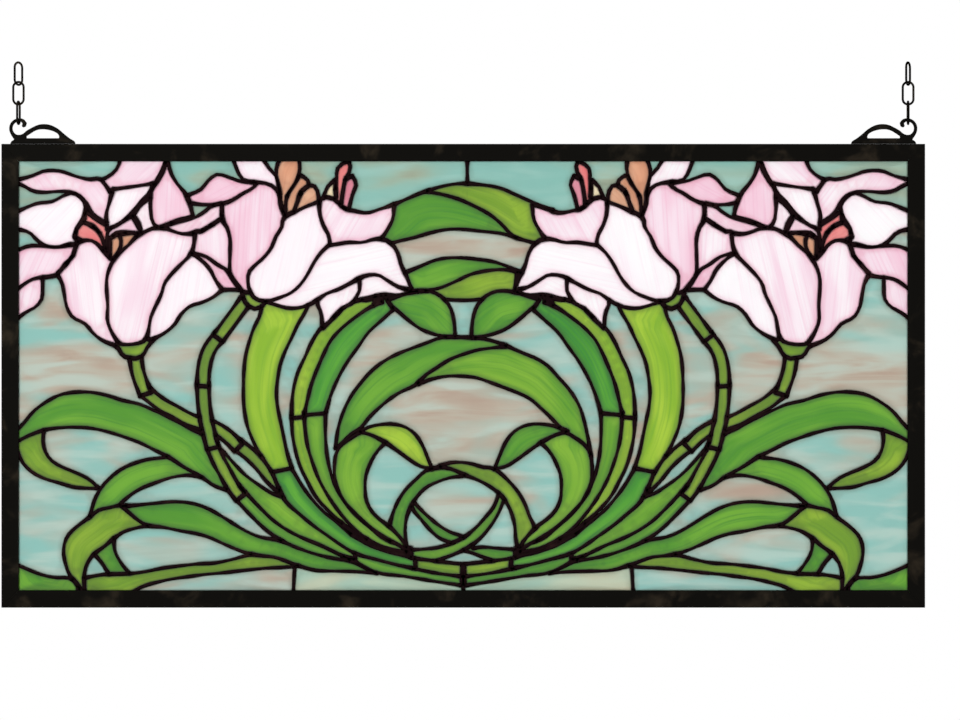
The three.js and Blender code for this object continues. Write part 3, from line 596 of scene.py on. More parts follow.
def farthest_pair(outline):
    """Numbers of the two outline points that lie farthest apart."""
    away = np.linalg.norm(outline[:, None] - outline[None], axis=2)
    return np.unravel_index(away.argmax(), away.shape)


def straight_grain(places, outline):
    """Along and across in squares: along the line through the tips, made steeper, and square to it."""
    tip, other_tip = farthest_pair(outline)
    x, z = unit((outline[other_tip] - outline[tip]) * (STEEPER, 1))
    return places @ np.array([x, z]), places @ np.array([-z, x])


def bent_grain(places, outline):
    """Along and across in squares: the mean run of the two sides, and half their distances' difference."""
    tip, other_tip = farthest_pair(outline)
    ring = np.roll(outline, -tip, axis=0)
    cut = (other_tip - tip) % len(outline)
    near_one, run_one = nearest(places, ring[: cut + 1])
    near_two, run_two = nearest(places, np.concatenate([ring[cut:], ring[:1]])[::-1])
    both = np.maximum(near_one + near_two, TINY)
    along = (run_one * near_two + run_two * near_one) / both
    across = (near_one - near_two) / 2
    return along, across


print("grain helpers ready for", PETAL_KINDS, "and the bent leaves")

# %% [markdown]
# ## Glass kinds
# One shader group makes streaked glass: a wide noise and a fine noise, both drawn out along the
# grain, mix three colours of a kind, and a painted shade darkens each tile towards its rim by the
# lead. A second group makes the wispy background glass from four colours, with the same painted
# rim shade. The groups give out a colour and a height only; the transparency is a plain value on
# each material's own shader. A noise lies mostly near a half, so the two ends of each ramp set how
# much of the glass a colour takes.

# %% Shader groups
# Each stretch is in waves to a square along the grain and across it, and a shift for each tile.
WIDE_STREAKS = (0.01, 0.05, 1.0)
FINE_STREAKS = (0.008, 0.42, 1.3)
WIDE_WISPS = (0.009, 0.026, 1.0)
THIN_WISPS = (0.011, 0.06, 1.6)
PALE_WISPS = 0.7
BROWN_WISPS = 0.7
# Strength of the painted shade at the rim of the background glass.
WISPY_RIM_SHADE = 0.42


def linear(red, green, blue):
    """A screen colour from 0 to 255 as linear light: ((c + 0.055) / 1.055) to the power 2.4."""
    part = np.array([red, green, blue]) / 255
    light = np.where(part < 0.04045, part / 12.92, ((part + 0.055) / 1.055) ** 2.4)
    return (*light.tolist(), 1.0)


def new_group(name, colours, numbers=()):
    """A shader group that takes the named colours and numbers and gives a colour and a height."""
    group = bpy.data.node_groups.new(name, "ShaderNodeTree")
    for label in colours:
        group.interface.new_socket(label, in_out="INPUT", socket_type="NodeSocketColor")
    for label in numbers:
        group.interface.new_socket(label, in_out="INPUT", socket_type="NodeSocketFloat")
    group.interface.new_socket("Color", in_out="OUTPUT", socket_type="NodeSocketColor")
    group.interface.new_socket("Height", in_out="OUTPUT", socket_type="NodeSocketFloat")
    return group, group.nodes.new("NodeGroupInput"), group.nodes.new("NodeGroupOutput")


def node(tree, kind, links=(), **values):
    """A node with its properties set and its inputs linked or set by name or number."""
    made = tree.nodes.new(kind)
    for name, value in values.items():
        setattr(made, name, value)
    for name, source in dict(links).items():
        if isinstance(source, bpy.types.NodeSocket):
            tree.links.new(source, made.inputs[name])
        else:
            made.inputs[name].default_value = source
    return made


def mix(tree, factor, one, other):
    """Colour mix of two sources by a factor from 0 to 1; its colour sockets are 6, 7 and, out, 2."""
    return node(tree, "ShaderNodeMix", {0: factor, 6: one, 7: other}, data_type="RGBA").outputs[2]


def ramp(tree, source, low, high):
    """0 below the low value, 1 above the high one, and smooth between them."""
    made = node(tree, "ShaderNodeMapRange", {"Value": source, "From Min": low, "From Max": high},
                interpolation_type="SMOOTHSTEP")
    return made.outputs["Result"]


def drawn_noise(tree, vector, stretch, detail, roughness, distortion):
    """Noise on a vector that is first multiplied by a stretch for each axis."""
    scaled = node(tree, "ShaderNodeVectorMath", {0: vector, 1: stretch}, operation="MULTIPLY")
    made = node(tree, "ShaderNodeTexNoise", {
        "Vector": scaled.outputs[0], "Scale": 1.0, "Detail": detail, "Roughness": roughness,
        "Distortion": distortion})
    return made.outputs["Fac"]


def product(tree, one, other):
    """One value times another."""
    return node(tree, "ShaderNodeMath", {0: one, 1: other}, operation="MULTIPLY").outputs[0]


def tile_values(tree):
    """A tile's grain as a vector, and its depth from the rim and its warmth as numbers."""
    grain = node(tree, "ShaderNodeAttribute", attribute_name="grain").outputs["Vector"]
    place = node(tree, "ShaderNodeAttribute", attribute_name="place").outputs["Vector"]
    parts = node(tree, "ShaderNodeSeparateXYZ", {0: place})
    return grain, parts.outputs[0], parts.outputs[1]


def make_streaked_glass():
    """Streaks along the grain, wide soft ones to pale and fine ones to deep, and painted shade at the rim.
    """
    tree, given, out = new_group("streaked_glass", ("Pale", "Main", "Deep", "Shade"), ("Streaks", "Rim_Shade"))
    grain, depth, _ = tile_values(tree)
    wide = drawn_noise(tree, grain, WIDE_STREAKS, detail=2.0, roughness=0.5, distortion=0.3)
    fine = drawn_noise(tree, grain, FINE_STREAKS, detail=2.0, roughness=0.6, distortion=0.05)
    colour = mix(tree, ramp(tree, wide, 0.36, 0.66), given.outputs["Main"], given.outputs["Pale"])
    streaks = product(tree, ramp(tree, fine, 0.42, 0.78), given.outputs["Streaks"])
    colour = mix(tree, streaks, colour, given.outputs["Deep"])
    # Painted shade: within a halo's width of the tile's rim, the colour is darkened towards the Shade
    # colour, as if shaded by the lead.
    rim_shade = product(tree, ramp(tree, depth, HALO, 1.0), given.outputs["Rim_Shade"])
    colour = mix(tree, rim_shade, colour, given.outputs["Shade"])
    tree.links.new(colour, out.inputs["Color"])
    tree.links.new(wide, out.inputs["Height"])
    return tree


def make_wispy_glass():
    """Level wisps: two stretched noises choose between the pale, blue, tan and brown glass; painted shade at
    the rim.
    """
    tree, given, out = new_group("wispy_glass", ("Pale", "Blue", "Tan", "Brown", "Shade"))
    grain, depth, warmth = tile_values(tree)
    wide = drawn_noise(tree, grain, WIDE_WISPS, detail=2.0, roughness=0.5, distortion=0.6)
    thin = drawn_noise(tree, grain, THIN_WISPS, detail=3.0, roughness=0.5, distortion=0.7)
    warm = node(tree, "ShaderNodeMath", {0: wide, 1: warmth}, operation="ADD").outputs[0]
    colour = mix(tree, ramp(tree, warm, 0.44, 0.74), given.outputs["Blue"], given.outputs["Tan"])
    pale = product(tree, ramp(tree, thin, 0.4, 0.7), PALE_WISPS)
    colour = mix(tree, pale, colour, given.outputs["Pale"])
    dark = product(tree, ramp(tree, warm, 0.56, 0.8), ramp(tree, thin, 0.5, 0.3))
    colour = mix(tree, product(tree, dark, BROWN_WISPS), colour, given.outputs["Brown"])
    # Painted shade: the background glass is darkened towards the Shade colour within a halo's width of its
    # rim, as if shaded by the lead.
    rim_shade = product(tree, ramp(tree, depth, HALO, 1.0), WISPY_RIM_SHADE)
    colour = mix(tree, rim_shade, colour, given.outputs["Shade"])
    tree.links.new(colour, out.inputs["Color"])
    tree.links.new(thin, out.inputs["Height"])
    return tree


streaked_glass = make_streaked_glass()
wispy_glass = make_wispy_glass()
print("shader groups", streaked_glass.name, wispy_glass.name)

# %% [markdown]
# Streaked glass has a pale, a main, a deep and a painted rim shade colour, then the strength of
# its fine streaks and of its painted rim shade. Wispy glass has a pale, a blue, a tan, a brown and
# a painted rim shade colour. All are screen colours from 0 to 255.

# %% Glass materials
# The fourth colour of each kind is a painted shade for the tile's rim by the lead, and the last number is
# that shade's strength.
STREAKED = {
    "white": ((254, 253, 254), (253, 247, 251), (246, 216, 230), (240, 184, 204), 0.5, 0.5),
    "blush": ((253, 246, 250), (249, 226, 237), (240, 192, 214), (234, 158, 184), 0.55, 0.6),
    "pink": ((250, 230, 240), (247, 209, 225), (236, 172, 200), (226, 140, 168), 0.55, 0.6),
    "coral": ((252, 172, 166), (246, 132, 132), (236, 92, 98), (206, 72, 78), 0.5, 0.6),
    "amber": ((244, 194, 158), (226, 160, 122), (204, 132, 96), (164, 98, 68), 0.5, 0.6),
    "cream": ((254, 248, 220), (250, 238, 200), (238, 214, 160), (200, 170, 120), 0.4, 0.5),
    "rose": ((246, 172, 188), (235, 140, 160), (218, 104, 136), (180, 84, 104), 0.4, 0.6),
    "leaf": ((110, 174, 30), (76, 151, 14), (40, 126, 24), (34, 88, 14), 0.6, 0.6),
    "fresh": ((132, 184, 34), (98, 162, 16), (62, 138, 22), (50, 98, 12), 0.6, 0.6),
    "lime": ((172, 206, 44), (140, 186, 18), (98, 162, 24), (78, 112, 12), 0.6, 0.6),
    "olive": ((148, 184, 32), (112, 157, 12), (82, 132, 14), (62, 88, 10), 0.6, 0.6),
    "deep": ((92, 174, 34), (54, 148, 22), (26, 120, 42), (20, 80, 24), 0.65, 0.6),
}
# The last colour of each kind is a painted shade for the tile's rim by the lead.
WISPY = {
    "opal": ((192, 213, 202), (143, 197, 188), (190, 178, 160), (178, 148, 130), (114, 116, 98)),
    "teal": ((164, 206, 195), (136, 192, 181), (164, 184, 162), (156, 158, 134), (94, 120, 102)),
    "cream_opal": ((198, 214, 190), (162, 200, 184), (196, 194, 166), (178, 166, 136), (118, 128, 100)),
}
GLASS_GLOSS = 0.25
RELIEF = 0.4 * MM


def new_material(name, base, given, metallic, roughness, transmission, bump):
    """A Principled material whose colour and relief come from a group with the given values."""
    material = bpy.data.materials.new(name)
    material.use_nodes = True
    tree = material.node_tree
    shader = tree.nodes["Principled BSDF"]
    source = node(tree, "ShaderNodeGroup", node_tree=base)
    for label, value in given.items():
        source.inputs[label].default_value = value
    relief = node(tree, "ShaderNodeBump", {
        "Height": source.outputs["Height"], "Strength": bump, "Distance": RELIEF})
    tree.links.new(source.outputs["Color"], shader.inputs["Base Color"])
    tree.links.new(relief.outputs["Normal"], shader.inputs["Normal"])
    shader.inputs["Metallic"].default_value = metallic
    shader.inputs["Roughness"].default_value = roughness
    shader.inputs["Transmission Weight"].default_value = transmission
    shader.inputs["IOR"].default_value = 1.5
    return material


def colours(labels, values):
    """The screen colours as linear light, each under its label."""
    return {label: linear(*value) for label, value in zip(labels, values)}


glass = {}
for kind, (*shades, streaks, rim) in STREAKED.items():
    given = {**colours(("Pale", "Main", "Deep", "Shade"), shades), "Streaks": streaks, "Rim_Shade": rim}
    glass[kind] = new_material(
        f"glass_{kind}", streaked_glass, given, metallic=0.0, roughness=0.3, transmission=0.75, bump=0.25)
for kind, shades in WISPY.items():
    given = colours(("Pale", "Blue", "Tan", "Brown", "Shade"), shades)
    glass[kind] = new_material(
        f"glass_{kind}", wispy_glass, given, metallic=0.0, roughness=0.35, transmission=0.7, bump=0.25)
for material in glass.values():
    material.node_tree.nodes["Principled BSDF"].inputs["Specular IOR Level"].default_value = GLASS_GLOSS
print(len(glass), "glass materials")

# %% [markdown]
# ## Metal finishes
# The channel, hooks and chains are black, the solder is a very dark brown. One group gives both
# a mottled colour and a fine relief, with warmer worn patches where its noise is high.

# %% Metal materials
# Waves to a metre, the same along all three axes.
PATCHES = (28.0, 28.0, 28.0)
GRIT = (420.0, 420.0, 420.0)


def make_dark_metal():
    """Mottling in Object coordinates: a worn colour in patches and a fine relief for the bump."""
    tree, given, out = new_group("dark_metal", ("Base", "Worn"), ("Wear",))
    where = node(tree, "ShaderNodeTexCoord").outputs["Object"]
    patches = drawn_noise(tree, where, PATCHES, detail=4.0, roughness=0.6, distortion=0.4)
    grit = drawn_noise(tree, where, GRIT, detail=3.0, roughness=0.6, distortion=0.0)
    amount = product(tree, ramp(tree, patches, 0.52, 0.72), given.outputs["Wear"])
    tree.links.new(mix(tree, amount, given.outputs["Base"], given.outputs["Worn"]), out.inputs["Color"])
    tree.links.new(grit, out.inputs["Height"])
    return tree


dark_metal = make_dark_metal()
black_metal = new_material(
    "black_metal", dark_metal, {**colours(("Base", "Worn"), ((17, 16, 14), (52, 45, 36))), "Wear": 0.7},
    metallic=1.0, roughness=0.5, transmission=0.0, bump=0.12)
dark_solder = new_material(
    "dark_solder", dark_metal, {**colours(("Base", "Worn"), ((24, 13, 15), (46, 28, 27))), "Wear": 0.5},
    metallic=1.0, roughness=0.42, transmission=0.0, bump=0.15)
for metal in (black_metal, dark_solder):
    metal.node_tree.nodes["Principled BSDF"].inputs["Specular Tint"].default_value = linear(120, 110, 104)
print("metals", black_metal.name, dark_solder.name)

# %% [markdown]
# ## Making objects
# Every piece is one mesh in the panel's own frame, at the origin and unturned. It rides on the
# one body of the model, names its finish and, where it stands for a CAD node, replaces it.

# %% Object helpers
def add_piece(name, mesh, replaces, materials):
    """Links a mesh as an object, with its materials, and ties it to the frame."""
    obj = bpy.data.objects.new(name, mesh)
    bpy.context.scene.collection.objects.link(obj)
    for material in materials:
        mesh.materials.append(material)
    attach(obj, "root")
    known = [node_name for node_name in replaces if node_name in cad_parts]
    if known:
        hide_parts(*known)
    return obj


def mesh_from(name, points, faces, smooth=False):
    """A mesh from an array of points and arrays or lists of faces."""
    mesh = bpy.data.meshes.new(name)
    mesh.from_pydata(points.tolist(), [], [list(map(int, face)) for face in faces])
    mesh.polygons.foreach_set("use_smooth", np.full(len(mesh.polygons), smooth))
    mesh.update()
    return mesh


def joined(parts):
    """Several lots of points and faces as one lot."""
    starts = np.cumsum([0] + [len(own) for own, _ in parts])
    faces = [[corner + start for corner in face] for (_, own), start in zip(parts, starts) for face in own]
    return np.concatenate([own for own, _ in parts]), faces


def tube(rows, closed=False):
    """Points and faces of a skin over rows of points that go round: capped, or closed to a ring."""
    count, sides, _ = rows.shape
    row, spot = np.meshgrid(np.arange(count if closed else count - 1), np.arange(sides), indexing="ij")
    here, ahead = row * sides, (row + 1) % count * sides
    after = (spot + 1) % sides
    quads = np.stack([here + spot, ahead + spot, ahead + after, here + after], axis=-1)
    faces = quads.reshape(-1, 4).tolist()
    if not closed:
        cap = np.arange(sides)
        faces += [cap.tolist(), (cap[::-1] + (count - 1) * sides).tolist()]
    return rows.reshape(-1, 3), faces


def outward(mesh, weld=0):
    """Turns every face of closed shells outward, after joining points nearer than the weld."""
    work = bmesh.new()
    work.from_mesh(mesh)
    if weld:
        bmesh.ops.remove_doubles(work, verts=work.verts, dist=weld)
    bmesh.ops.recalc_face_normals(work, faces=work.faces)
    work.to_mesh(mesh)
    work.free()
    return mesh


print("object helpers ready for", len(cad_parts), "nodes")

# %% [markdown]
# ## Tiles
# A tile is its patch of triangles twice, in front and behind, joined by walls along its outline.
# The lead beads cover the walls, so neighbouring tiles share the middle of a bead. Where two
# forms leave only a thin gap, no glass is cut: solder fills it. A gap is thin when twice its area
# divided by its outline's length, about its width, is under the narrowest that a tile may be.
# The background is tan in soft spots, given by their middle, half widths and strength.

# %% Tile meshes
SMALLEST_TILE = 12
SMALLEST_FILL = 0.05
NARROWEST = 3.3
FILL_HALF = 2.0 * MM
RING_REACH = 60
RING_LOW = 25
RING_HIGH = 115
MIDDLE_REACH = 150
TOP_LOW = 380
TEAL_LOW = 360
SHIFTS = 90
SEED = 7
WARM_SPOTS = [
    (0, 195, 85, 55, 0.16), (380, 215, 130, 40, 0.25), (0, 340, 70, 24, 0.22), (205, 215, 26, 60, 0.16),
    (150, 170, 14, 90, 0.18), (290, 105, 60, 16, 0.14), (100, 235, 40, 40, 0.1), (20, 90, 45, 16, 0.12),
    (82, 112, 26, 36, -0.15), (300, 25, 70, 20, -0.12), (430, 80, 40, 40, -0.1), (110, 10, 60, 12, 0.06),
    (430, 405, 50, 40, 0.2), (150, 415, 20, 30, 0.2),
]


def tile_solid(patch):
    """A patch of triangles as a solid with a front, a back and walls.

    Gives the patch's flat points, the solid's points and faces, the rim's points and its length.
    """
    used, local = np.unique(patch, return_inverse=True)
    local = local.reshape(patch.shape)
    flat = points[used]
    count = len(used)
    x, z = np.tile(on_panel(flat), (2, 1)).T
    solid = np.stack([x, np.repeat([-GLASS_HALF, GLASS_HALF], count), z], axis=1)
    edges = edges_of(local)
    forward = edges[:, 0] * count + edges[:, 1]
    backward = edges[:, 1] * count + edges[:, 0]
    rim = edges[~np.isin(forward, backward)]
    walls = np.stack([rim[:, 1], rim[:, 0], rim[:, 0] + count, rim[:, 1] + count], axis=1)
    faces = [*local.tolist(), *(local[:, ::-1] + count).tolist(), *walls.tolist()]
    around = np.linalg.norm(flat[rim[:, 1]] - flat[rim[:, 0]], axis=1).sum()
    return flat, solid, faces, flat[np.unique(rim)], around


def warmth_at(places):
    """How tan the background glass is: a sum of soft round spots on both sides of the middle."""
    total = np.zeros(len(places))
    for x, z, wide, high, amount in WARM_SPOTS:
        for turn in (-1, 1):
            away = ((places[:, 0] - turn * x) / wide) ** 2 + ((places[:, 1] - z) / high) ** 2
            total += amount * np.exp(-away)
    return total


def group_and_kind(form, x, z):
    """The group and the kind of glass of an area, from its form's number and its middle."""
    side = "left_background" if x < 0 else "right_background"
    if form < len(forms):
        group, kind, _ = forms[form]
        return side if group == "low_background" else group, kind
    kind = "teal" if z > TEAL_LOW else "opal"
    if abs(x) < RING_REACH and RING_LOW < z < RING_HIGH:
        return "ring_window", kind
    if abs(x) < MIDDLE_REACH:
        return "top_background" if z > TOP_LOW else "middle_background", kind
    return side, kind


def grain_of(kind, flat, patch):
    """Along and across for each point of a tile, in the way of its kind of glass."""
    if kind in WISPY:
        return flat.T
    outline = points[max(outline_loops(patch), key=len)]
    return straight_grain(flat, outline) if kind in PETAL_KINDS else bent_grain(flat, outline)


def cut_glass():
    """All areas as tiles, listed by group, and the gaps that solder fills.

    Each tile keeps its kind, its points and faces, its grain, which ends in a shift of its own,
    and its place: the depth from the rim, the warmth and a number of its own.
    """
    random = np.random.default_rng(SEED)
    groups = {}
    fills = []
    for number in np.unique(label):
        patch = corners[label == number]
        areas = areas_of(points[patch])
        if areas.sum() < SMALLEST_FILL:
            continue
        middle = (points[patch].mean(axis=1) * areas[:, None]).sum(axis=0) / areas.sum()
        group, kind = group_and_kind(top[label == number][0], *middle)
        flat, solid, faces, rim, around = tile_solid(patch)
        narrow = 2 * areas.sum() < NARROWEST * around
        if kind == "solder" or narrow or areas.sum() < SMALLEST_TILE:
            solid[:, 1] *= FILL_HALF / GLASS_HALF
            fills.append((solid, faces))
            continue
        along, across = grain_of(kind, flat, patch)
        grain = np.stack([along, across, np.full(len(flat), random.uniform(0, SHIFTS))], axis=1)
        depth = np.linalg.norm(flat[:, None] - rim[None], axis=2).min(axis=1)
        place = np.stack([depth, warmth_at(flat), np.full(len(flat), random.uniform(0, 1))], axis=1)
        groups.setdefault(group, []).append((kind, solid, faces, grain, place))
    return groups, fills


def build_group(group, tiles):
    """One object of all the tiles of a group, with a material for each kind of glass."""
    kinds = sorted({kind for kind, *_ in tiles})
    mesh = mesh_from(f"glass_{group}", *joined([(solid, faces) for _, solid, faces, *_ in tiles]))
    index = np.concatenate([np.full(len(faces), kinds.index(kind)) for kind, _, faces, *_ in tiles])
    for name, part in (("grain", 3), ("place", 4)):
        attribute = mesh.attributes.new(name, "FLOAT_VECTOR", "POINT")
        values = np.concatenate([np.tile(tile[part], (2, 1)) for tile in tiles])
        attribute.data.foreach_set("vector", values.ravel().astype(np.float32))
    add_piece(f"glass_{group}", mesh, [group], [glass[kind] for kind in kinds])
    mesh.polygons.foreach_set("material_index", index.astype(np.int32))


groups, fills = cut_glass()
for group, tiles in groups.items():
    build_group(group, tiles)
print(sum(len(tiles) for tiles in groups.values()), "tiles in", len(groups), "groups")
print(len(fills), "gaps filled with solder")

# %% [markdown]
# ## Lead lines
# The edges between forms are strung together into lines that run from junction to junction.
# Each line becomes a bead: an ellipse swept along it, a little wider at its ends and uneven along
# its length, as solder flows. A flat drop of solder sits on each junction and on each tip.

# %% Stringing the edges together
def string_lines(edges, places):
    """Lines of point numbers between junctions and corners, from loose edges, and those ends."""
    neighbours = {}
    for a, b in edges.tolist():
        neighbours.setdefault(a, []).append(b)
        neighbours.setdefault(b, []).append(a)

    def is_end(point):
        """True at a junction, at a loose end and where the line turns more than a corner's turn."""
        around = neighbours[point]
        if len(around) != 2:
            return True
        one, two = places[point] - places[around[0]], places[around[1]] - places[point]
        return (one * two).sum() < math.cos(CORNER_TURN) * np.linalg.norm(one) * np.linalg.norm(two)

    ends = {point for point in neighbours if is_end(point)}
    lines = []
    seen = set()
    for start in [*sorted(ends), *neighbours]:
        for step in neighbours[start]:
            if (start, step) in seen:
                continue
            line = [start, step]
            seen.update([(start, step), (step, start)])
            while line[-1] not in ends and line[-1] != start:
                onward = [p for p in neighbours[line[-1]] if (line[-1], p) not in seen]
                if not onward:
                    break
                seen.update([(line[-1], onward[0]), (onward[0], line[-1])])
                line.append(onward[0])
            lines.append(line)
    return lines, sorted(ends)


lines, line_ends = string_lines(seam_edges, points)
print(len(lines), "lines and", len(line_ends), "junctions and tips")

# %% Solder beads
BEAD_SIDES = 10
DROP_RINGS = 5
FLARE = 0.85 * MM
FLARE_LENGTH = 4 * MM
UNEVEN = 0.18
# Radians to a millimetre along one axis, the same along the other, and the bend in radians.
WAVES = ((0.21, 0.17, 2), (0.33, 0.12, 3))


def wobble(place):
    """Uneven width from -1 to 1: the mean of two waves, each bent by the sine of the other axis."""
    x, z = place[:, 0] / MM, place[:, 1] / MM
    total = 0
    for (one, other), (rate, other_rate, bend) in zip(((x, z), (z, x)), WAVES):
        total = total + np.sin(one * rate + np.sin(other * other_rate) * bend)
    return total / 2


def resampled(place, step):
    """Points at even steps along a line of points, and how far along it each one is."""
    run = run_along(place)
    count = max(2, int(round(run[-1] / step)) + 1)
    even = np.linspace(0, run[-1], count)
    return np.stack([np.interp(even, run, place[:, 0]), np.interp(even, run, place[:, 1])], axis=1), even


def bead(place):
    """Points and faces of one closed bead along a line given in metres.

    Round the line the bead is an ellipse: half width times the cosine to the side, and half
    height times the sine to the front, for angles that go once round.
    """
    centre, run = resampled(place, SEAM_STEP)
    side = left_of(unit(np.gradient(centre, axis=0)))
    ends = np.exp(-run / FLARE_LENGTH) + np.exp(-(run[-1] - run) / FLARE_LENGTH)
    half = SEAM_HALF_WIDTH * (1 + UNEVEN * wobble(centre)) + FLARE * np.minimum(ends, 1)
    angle = np.arange(BEAD_SIDES) * 2 * np.pi / BEAD_SIDES
    out = np.cos(angle)[None, :] * half[:, None]
    rows = np.empty((len(centre), BEAD_SIDES, 3))
    rows[..., 0] = centre[:, :1] + side[:, :1] * out
    rows[..., 1] = np.sin(angle)[None, :] * SEAM_HALF_HEIGHT
    rows[..., 2] = centre[:, 1:] + side[:, 1:] * out
    return tube(rows)


def drop(x, z, half):
    """Points and faces of a flat drop of solder: the rings of a squashed ball, without its poles."""
    tilt = np.linspace(-1, 1, DROP_RINGS + 2)[1:-1] * np.pi / 2
    angle = np.arange(BEAD_SIDES) * 2 * np.pi / BEAD_SIDES
    rows = np.empty((DROP_RINGS, BEAD_SIDES, 3))
    rows[..., 0] = x + half * np.cos(tilt)[:, None] * np.cos(angle)
    rows[..., 1] = SEAM_HALF_HEIGHT * np.sin(tilt)[:, None]
    rows[..., 2] = z + half * np.cos(tilt)[:, None] * np.sin(angle)
    return tube(rows)


panel_points = on_panel(points)
parts = [bead(panel_points[line]) for line in lines]
parts += [drop(*panel_points[end], SEAM_HALF_WIDTH + FLARE) for end in line_ends]
seam_points, seam_faces = joined(parts + fills)
solder = outward(mesh_from("solder_network", seam_points, seam_faces, smooth=True))
add_piece("solder_network", solder, ["solder_seams"], [dark_solder])
print("solder points", len(seam_points), "faces", len(seam_faces))

# %% [markdown]
# ## Edge channel
# Four lengths of U channel are mitred round the panel. The profile is a U with rounded edges,
# open towards the glass, and a length is that profile run between two mitres: the farther a
# profile point lies from the outer edge, the shorter its run.

# %% Channel lengths
LIP_ROUND = 0.35 * MM
EDGE_ROUND = 0.9 * MM
MITRE_GAP = 0.08 * MM
ROUND_STEPS = 4


def rounded(corners_and_radii):
    """A closed outline whose corners are arcs: each arc is a quadratic curve about its corner.

    At a fraction t the curve is start (1 - t)^2 + corner 2 t (1 - t) + end t^2.
    """
    data = np.asarray(corners_and_radii, float)
    p, radius = data[:, :2], data[:, 2:]
    start = p + unit(np.roll(p, 1, axis=0) - p) * radius
    end = p + unit(np.roll(p, -1, axis=0) - p) * radius
    t = np.linspace(0, 1, ROUND_STEPS)[None, :, None]
    arcs = start[:, None] * (1 - t) ** 2 + p[:, None] * 2 * t * (1 - t) + end[:, None] * t**2
    return arcs.reshape(-1, 2)


half_depth = CHANNEL_DEPTH / 2
groove = half_depth - CHANNEL_WALL
profile = rounded([
    (0, -half_depth, EDGE_ROUND), (CHANNEL_FACE, -half_depth, LIP_ROUND), (CHANNEL_FACE, -groove, LIP_ROUND),
    (CHANNEL_WALL, -groove, LIP_ROUND), (CHANNEL_WALL, groove, LIP_ROUND), (CHANNEL_FACE, groove, LIP_ROUND),
    (CHANNEL_FACE, half_depth, LIP_ROUND), (0, half_depth, EDGE_ROUND),
])


def channel(side, start, end, inward):
    """One length from start to end, both outer corners, with its open side towards inward."""
    start, end, inward = np.array(start), np.array(end), np.array(inward)
    along = unit(end - start)
    depth = profile[:, :1]
    first = start + inward * depth + along * (depth + MITRE_GAP)
    last = end + inward * depth - along * (depth + MITRE_GAP)
    rows = [np.stack([flat[:, 0], profile[:, 1], flat[:, 1]], axis=1) for flat in (first, last)]
    mesh = outward(mesh_from(f"channel_{side}", *tube(np.stack(rows))))
    add_piece(f"channel_{side}", mesh, [f"frame_{side}"], [black_metal])


left_top, right_top = (PANEL_LEFT, PANEL_TOP), (PANEL_RIGHT, PANEL_TOP)
left_low, right_low = (PANEL_LEFT, PANEL_BOTTOM), (PANEL_RIGHT, PANEL_BOTTOM)
channel("top", left_top, right_top, (0, -1))
channel("bottom", left_low, right_low, (0, 1))
channel("left", left_low, left_top, (1, 0))
channel("right", right_low, right_top, (-1, 0))
print("channel profile of", len(profile), "points")

# %% [markdown]
# ## Scroll hooks
# A hook is one flat casting: a foot along the channel and an arch that falls away towards the
# middle of the panel, with a half-moon opening, and an open scroll that takes the chain. Casting
# and scroll are joined with the same triangulation as the tiles, and the edges are rounded. The
# anchors are in millimetres from the hook's outer end and the channel's top.

# %% Hooks
CASTING = [
    -0.3, 0, 0.6, 1.7, 2.9, 3.2, 1.9, 6, 2.6, 8.4, 4.4, 7.1, 6.5, 6.8, 9, 7.4, 12.4, 10, 17.1, 12.7,
    21.2, 14.5, 25.4, 15.1, 29.5, 14.7, 33, 13.5, 36.6, 11.4, 41.3, 7.4, 44.8, 4.6, 49.7, 0.4, 49.7, 0]
HALF_MOON = [
    12.2, 4.2, 12.1, 5.9, 15.3, 8, 18.2, 9.8, 21.2, 10.9, 24.8, 11.2, 29.5, 10.6, 34.2, 8.9, 36.9, 6.8,
    37.4, 5.4, 37.2, 4.2]
SCROLL = [
    4.6, 3.6, 3.6, 4.9, 1.7, 7.3, 0.3, 10.2, 0.2, 13, 1.4, 15.8, 3.9, 17.8, 6.6, 18.4, 9.2, 17.6,
    10.7, 15.7, 10.1, 14, 9.2, 13]
SCROLL_WIDTHS = [4, 3.4, 2.8, 2.4, 2.3, 2.2, 2.3, 2.4, 2.9, 3.2, 2.7, 1.2]
HOOK_INSET = 6.8 * MM
HOOK_ROUND = 0.5 * MM
OUTLINE_WELD = 1e-4
SLAB_WELD = 1e-6


def union_loops(outlines):
    """Closed loops round everything that the outlines cover."""
    flat, triangles = triangulate(outlines, np.empty((0, 2)), OUTLINE_WELD)
    covered = first_form(flat[triangles].mean(axis=1), outlines) < len(outlines)
    return [flat[loop] for loop in outline_loops(triangles[covered])]


def rounded_slab(name, loops, half, round_off):
    """A flat body with rounded edges: filled loops, drawn in by the rounding and given depth."""
    curve = bpy.data.curves.new(name, "CURVE")
    curve.dimensions = "2D"
    curve.fill_mode = "BOTH"
    curve.extrude = half - round_off
    curve.bevel_depth = round_off
    curve.bevel_resolution = 3
    curve.offset = -round_off
    for loop in loops:
        spline = curve.splines.new("POLY")
        spline.points.add(len(loop) - 1)
        spline.points.foreach_set("co", np.pad(loop, ((0, 0), (0, 2))).astype(np.float32).ravel())
        spline.use_cyclic_u = True
    holder = bpy.data.objects.new(name, curve)
    bpy.context.scene.collection.objects.link(holder)
    bpy.context.view_layer.update()
    seen = holder.evaluated_get(bpy.context.evaluated_depsgraph_get())
    mesh = bpy.data.meshes.new_from_object(seen)
    bpy.data.objects.remove(holder)
    flat = np.empty(len(mesh.vertices) * 3, np.float32)
    mesh.vertices.foreach_get("co", flat)
    upright = flat.reshape(-1, 3)[:, [0, 2, 1]]
    mesh.vertices.foreach_set("co", upright.ravel())
    mesh.name = name
    return outward(mesh, SLAB_WELD)


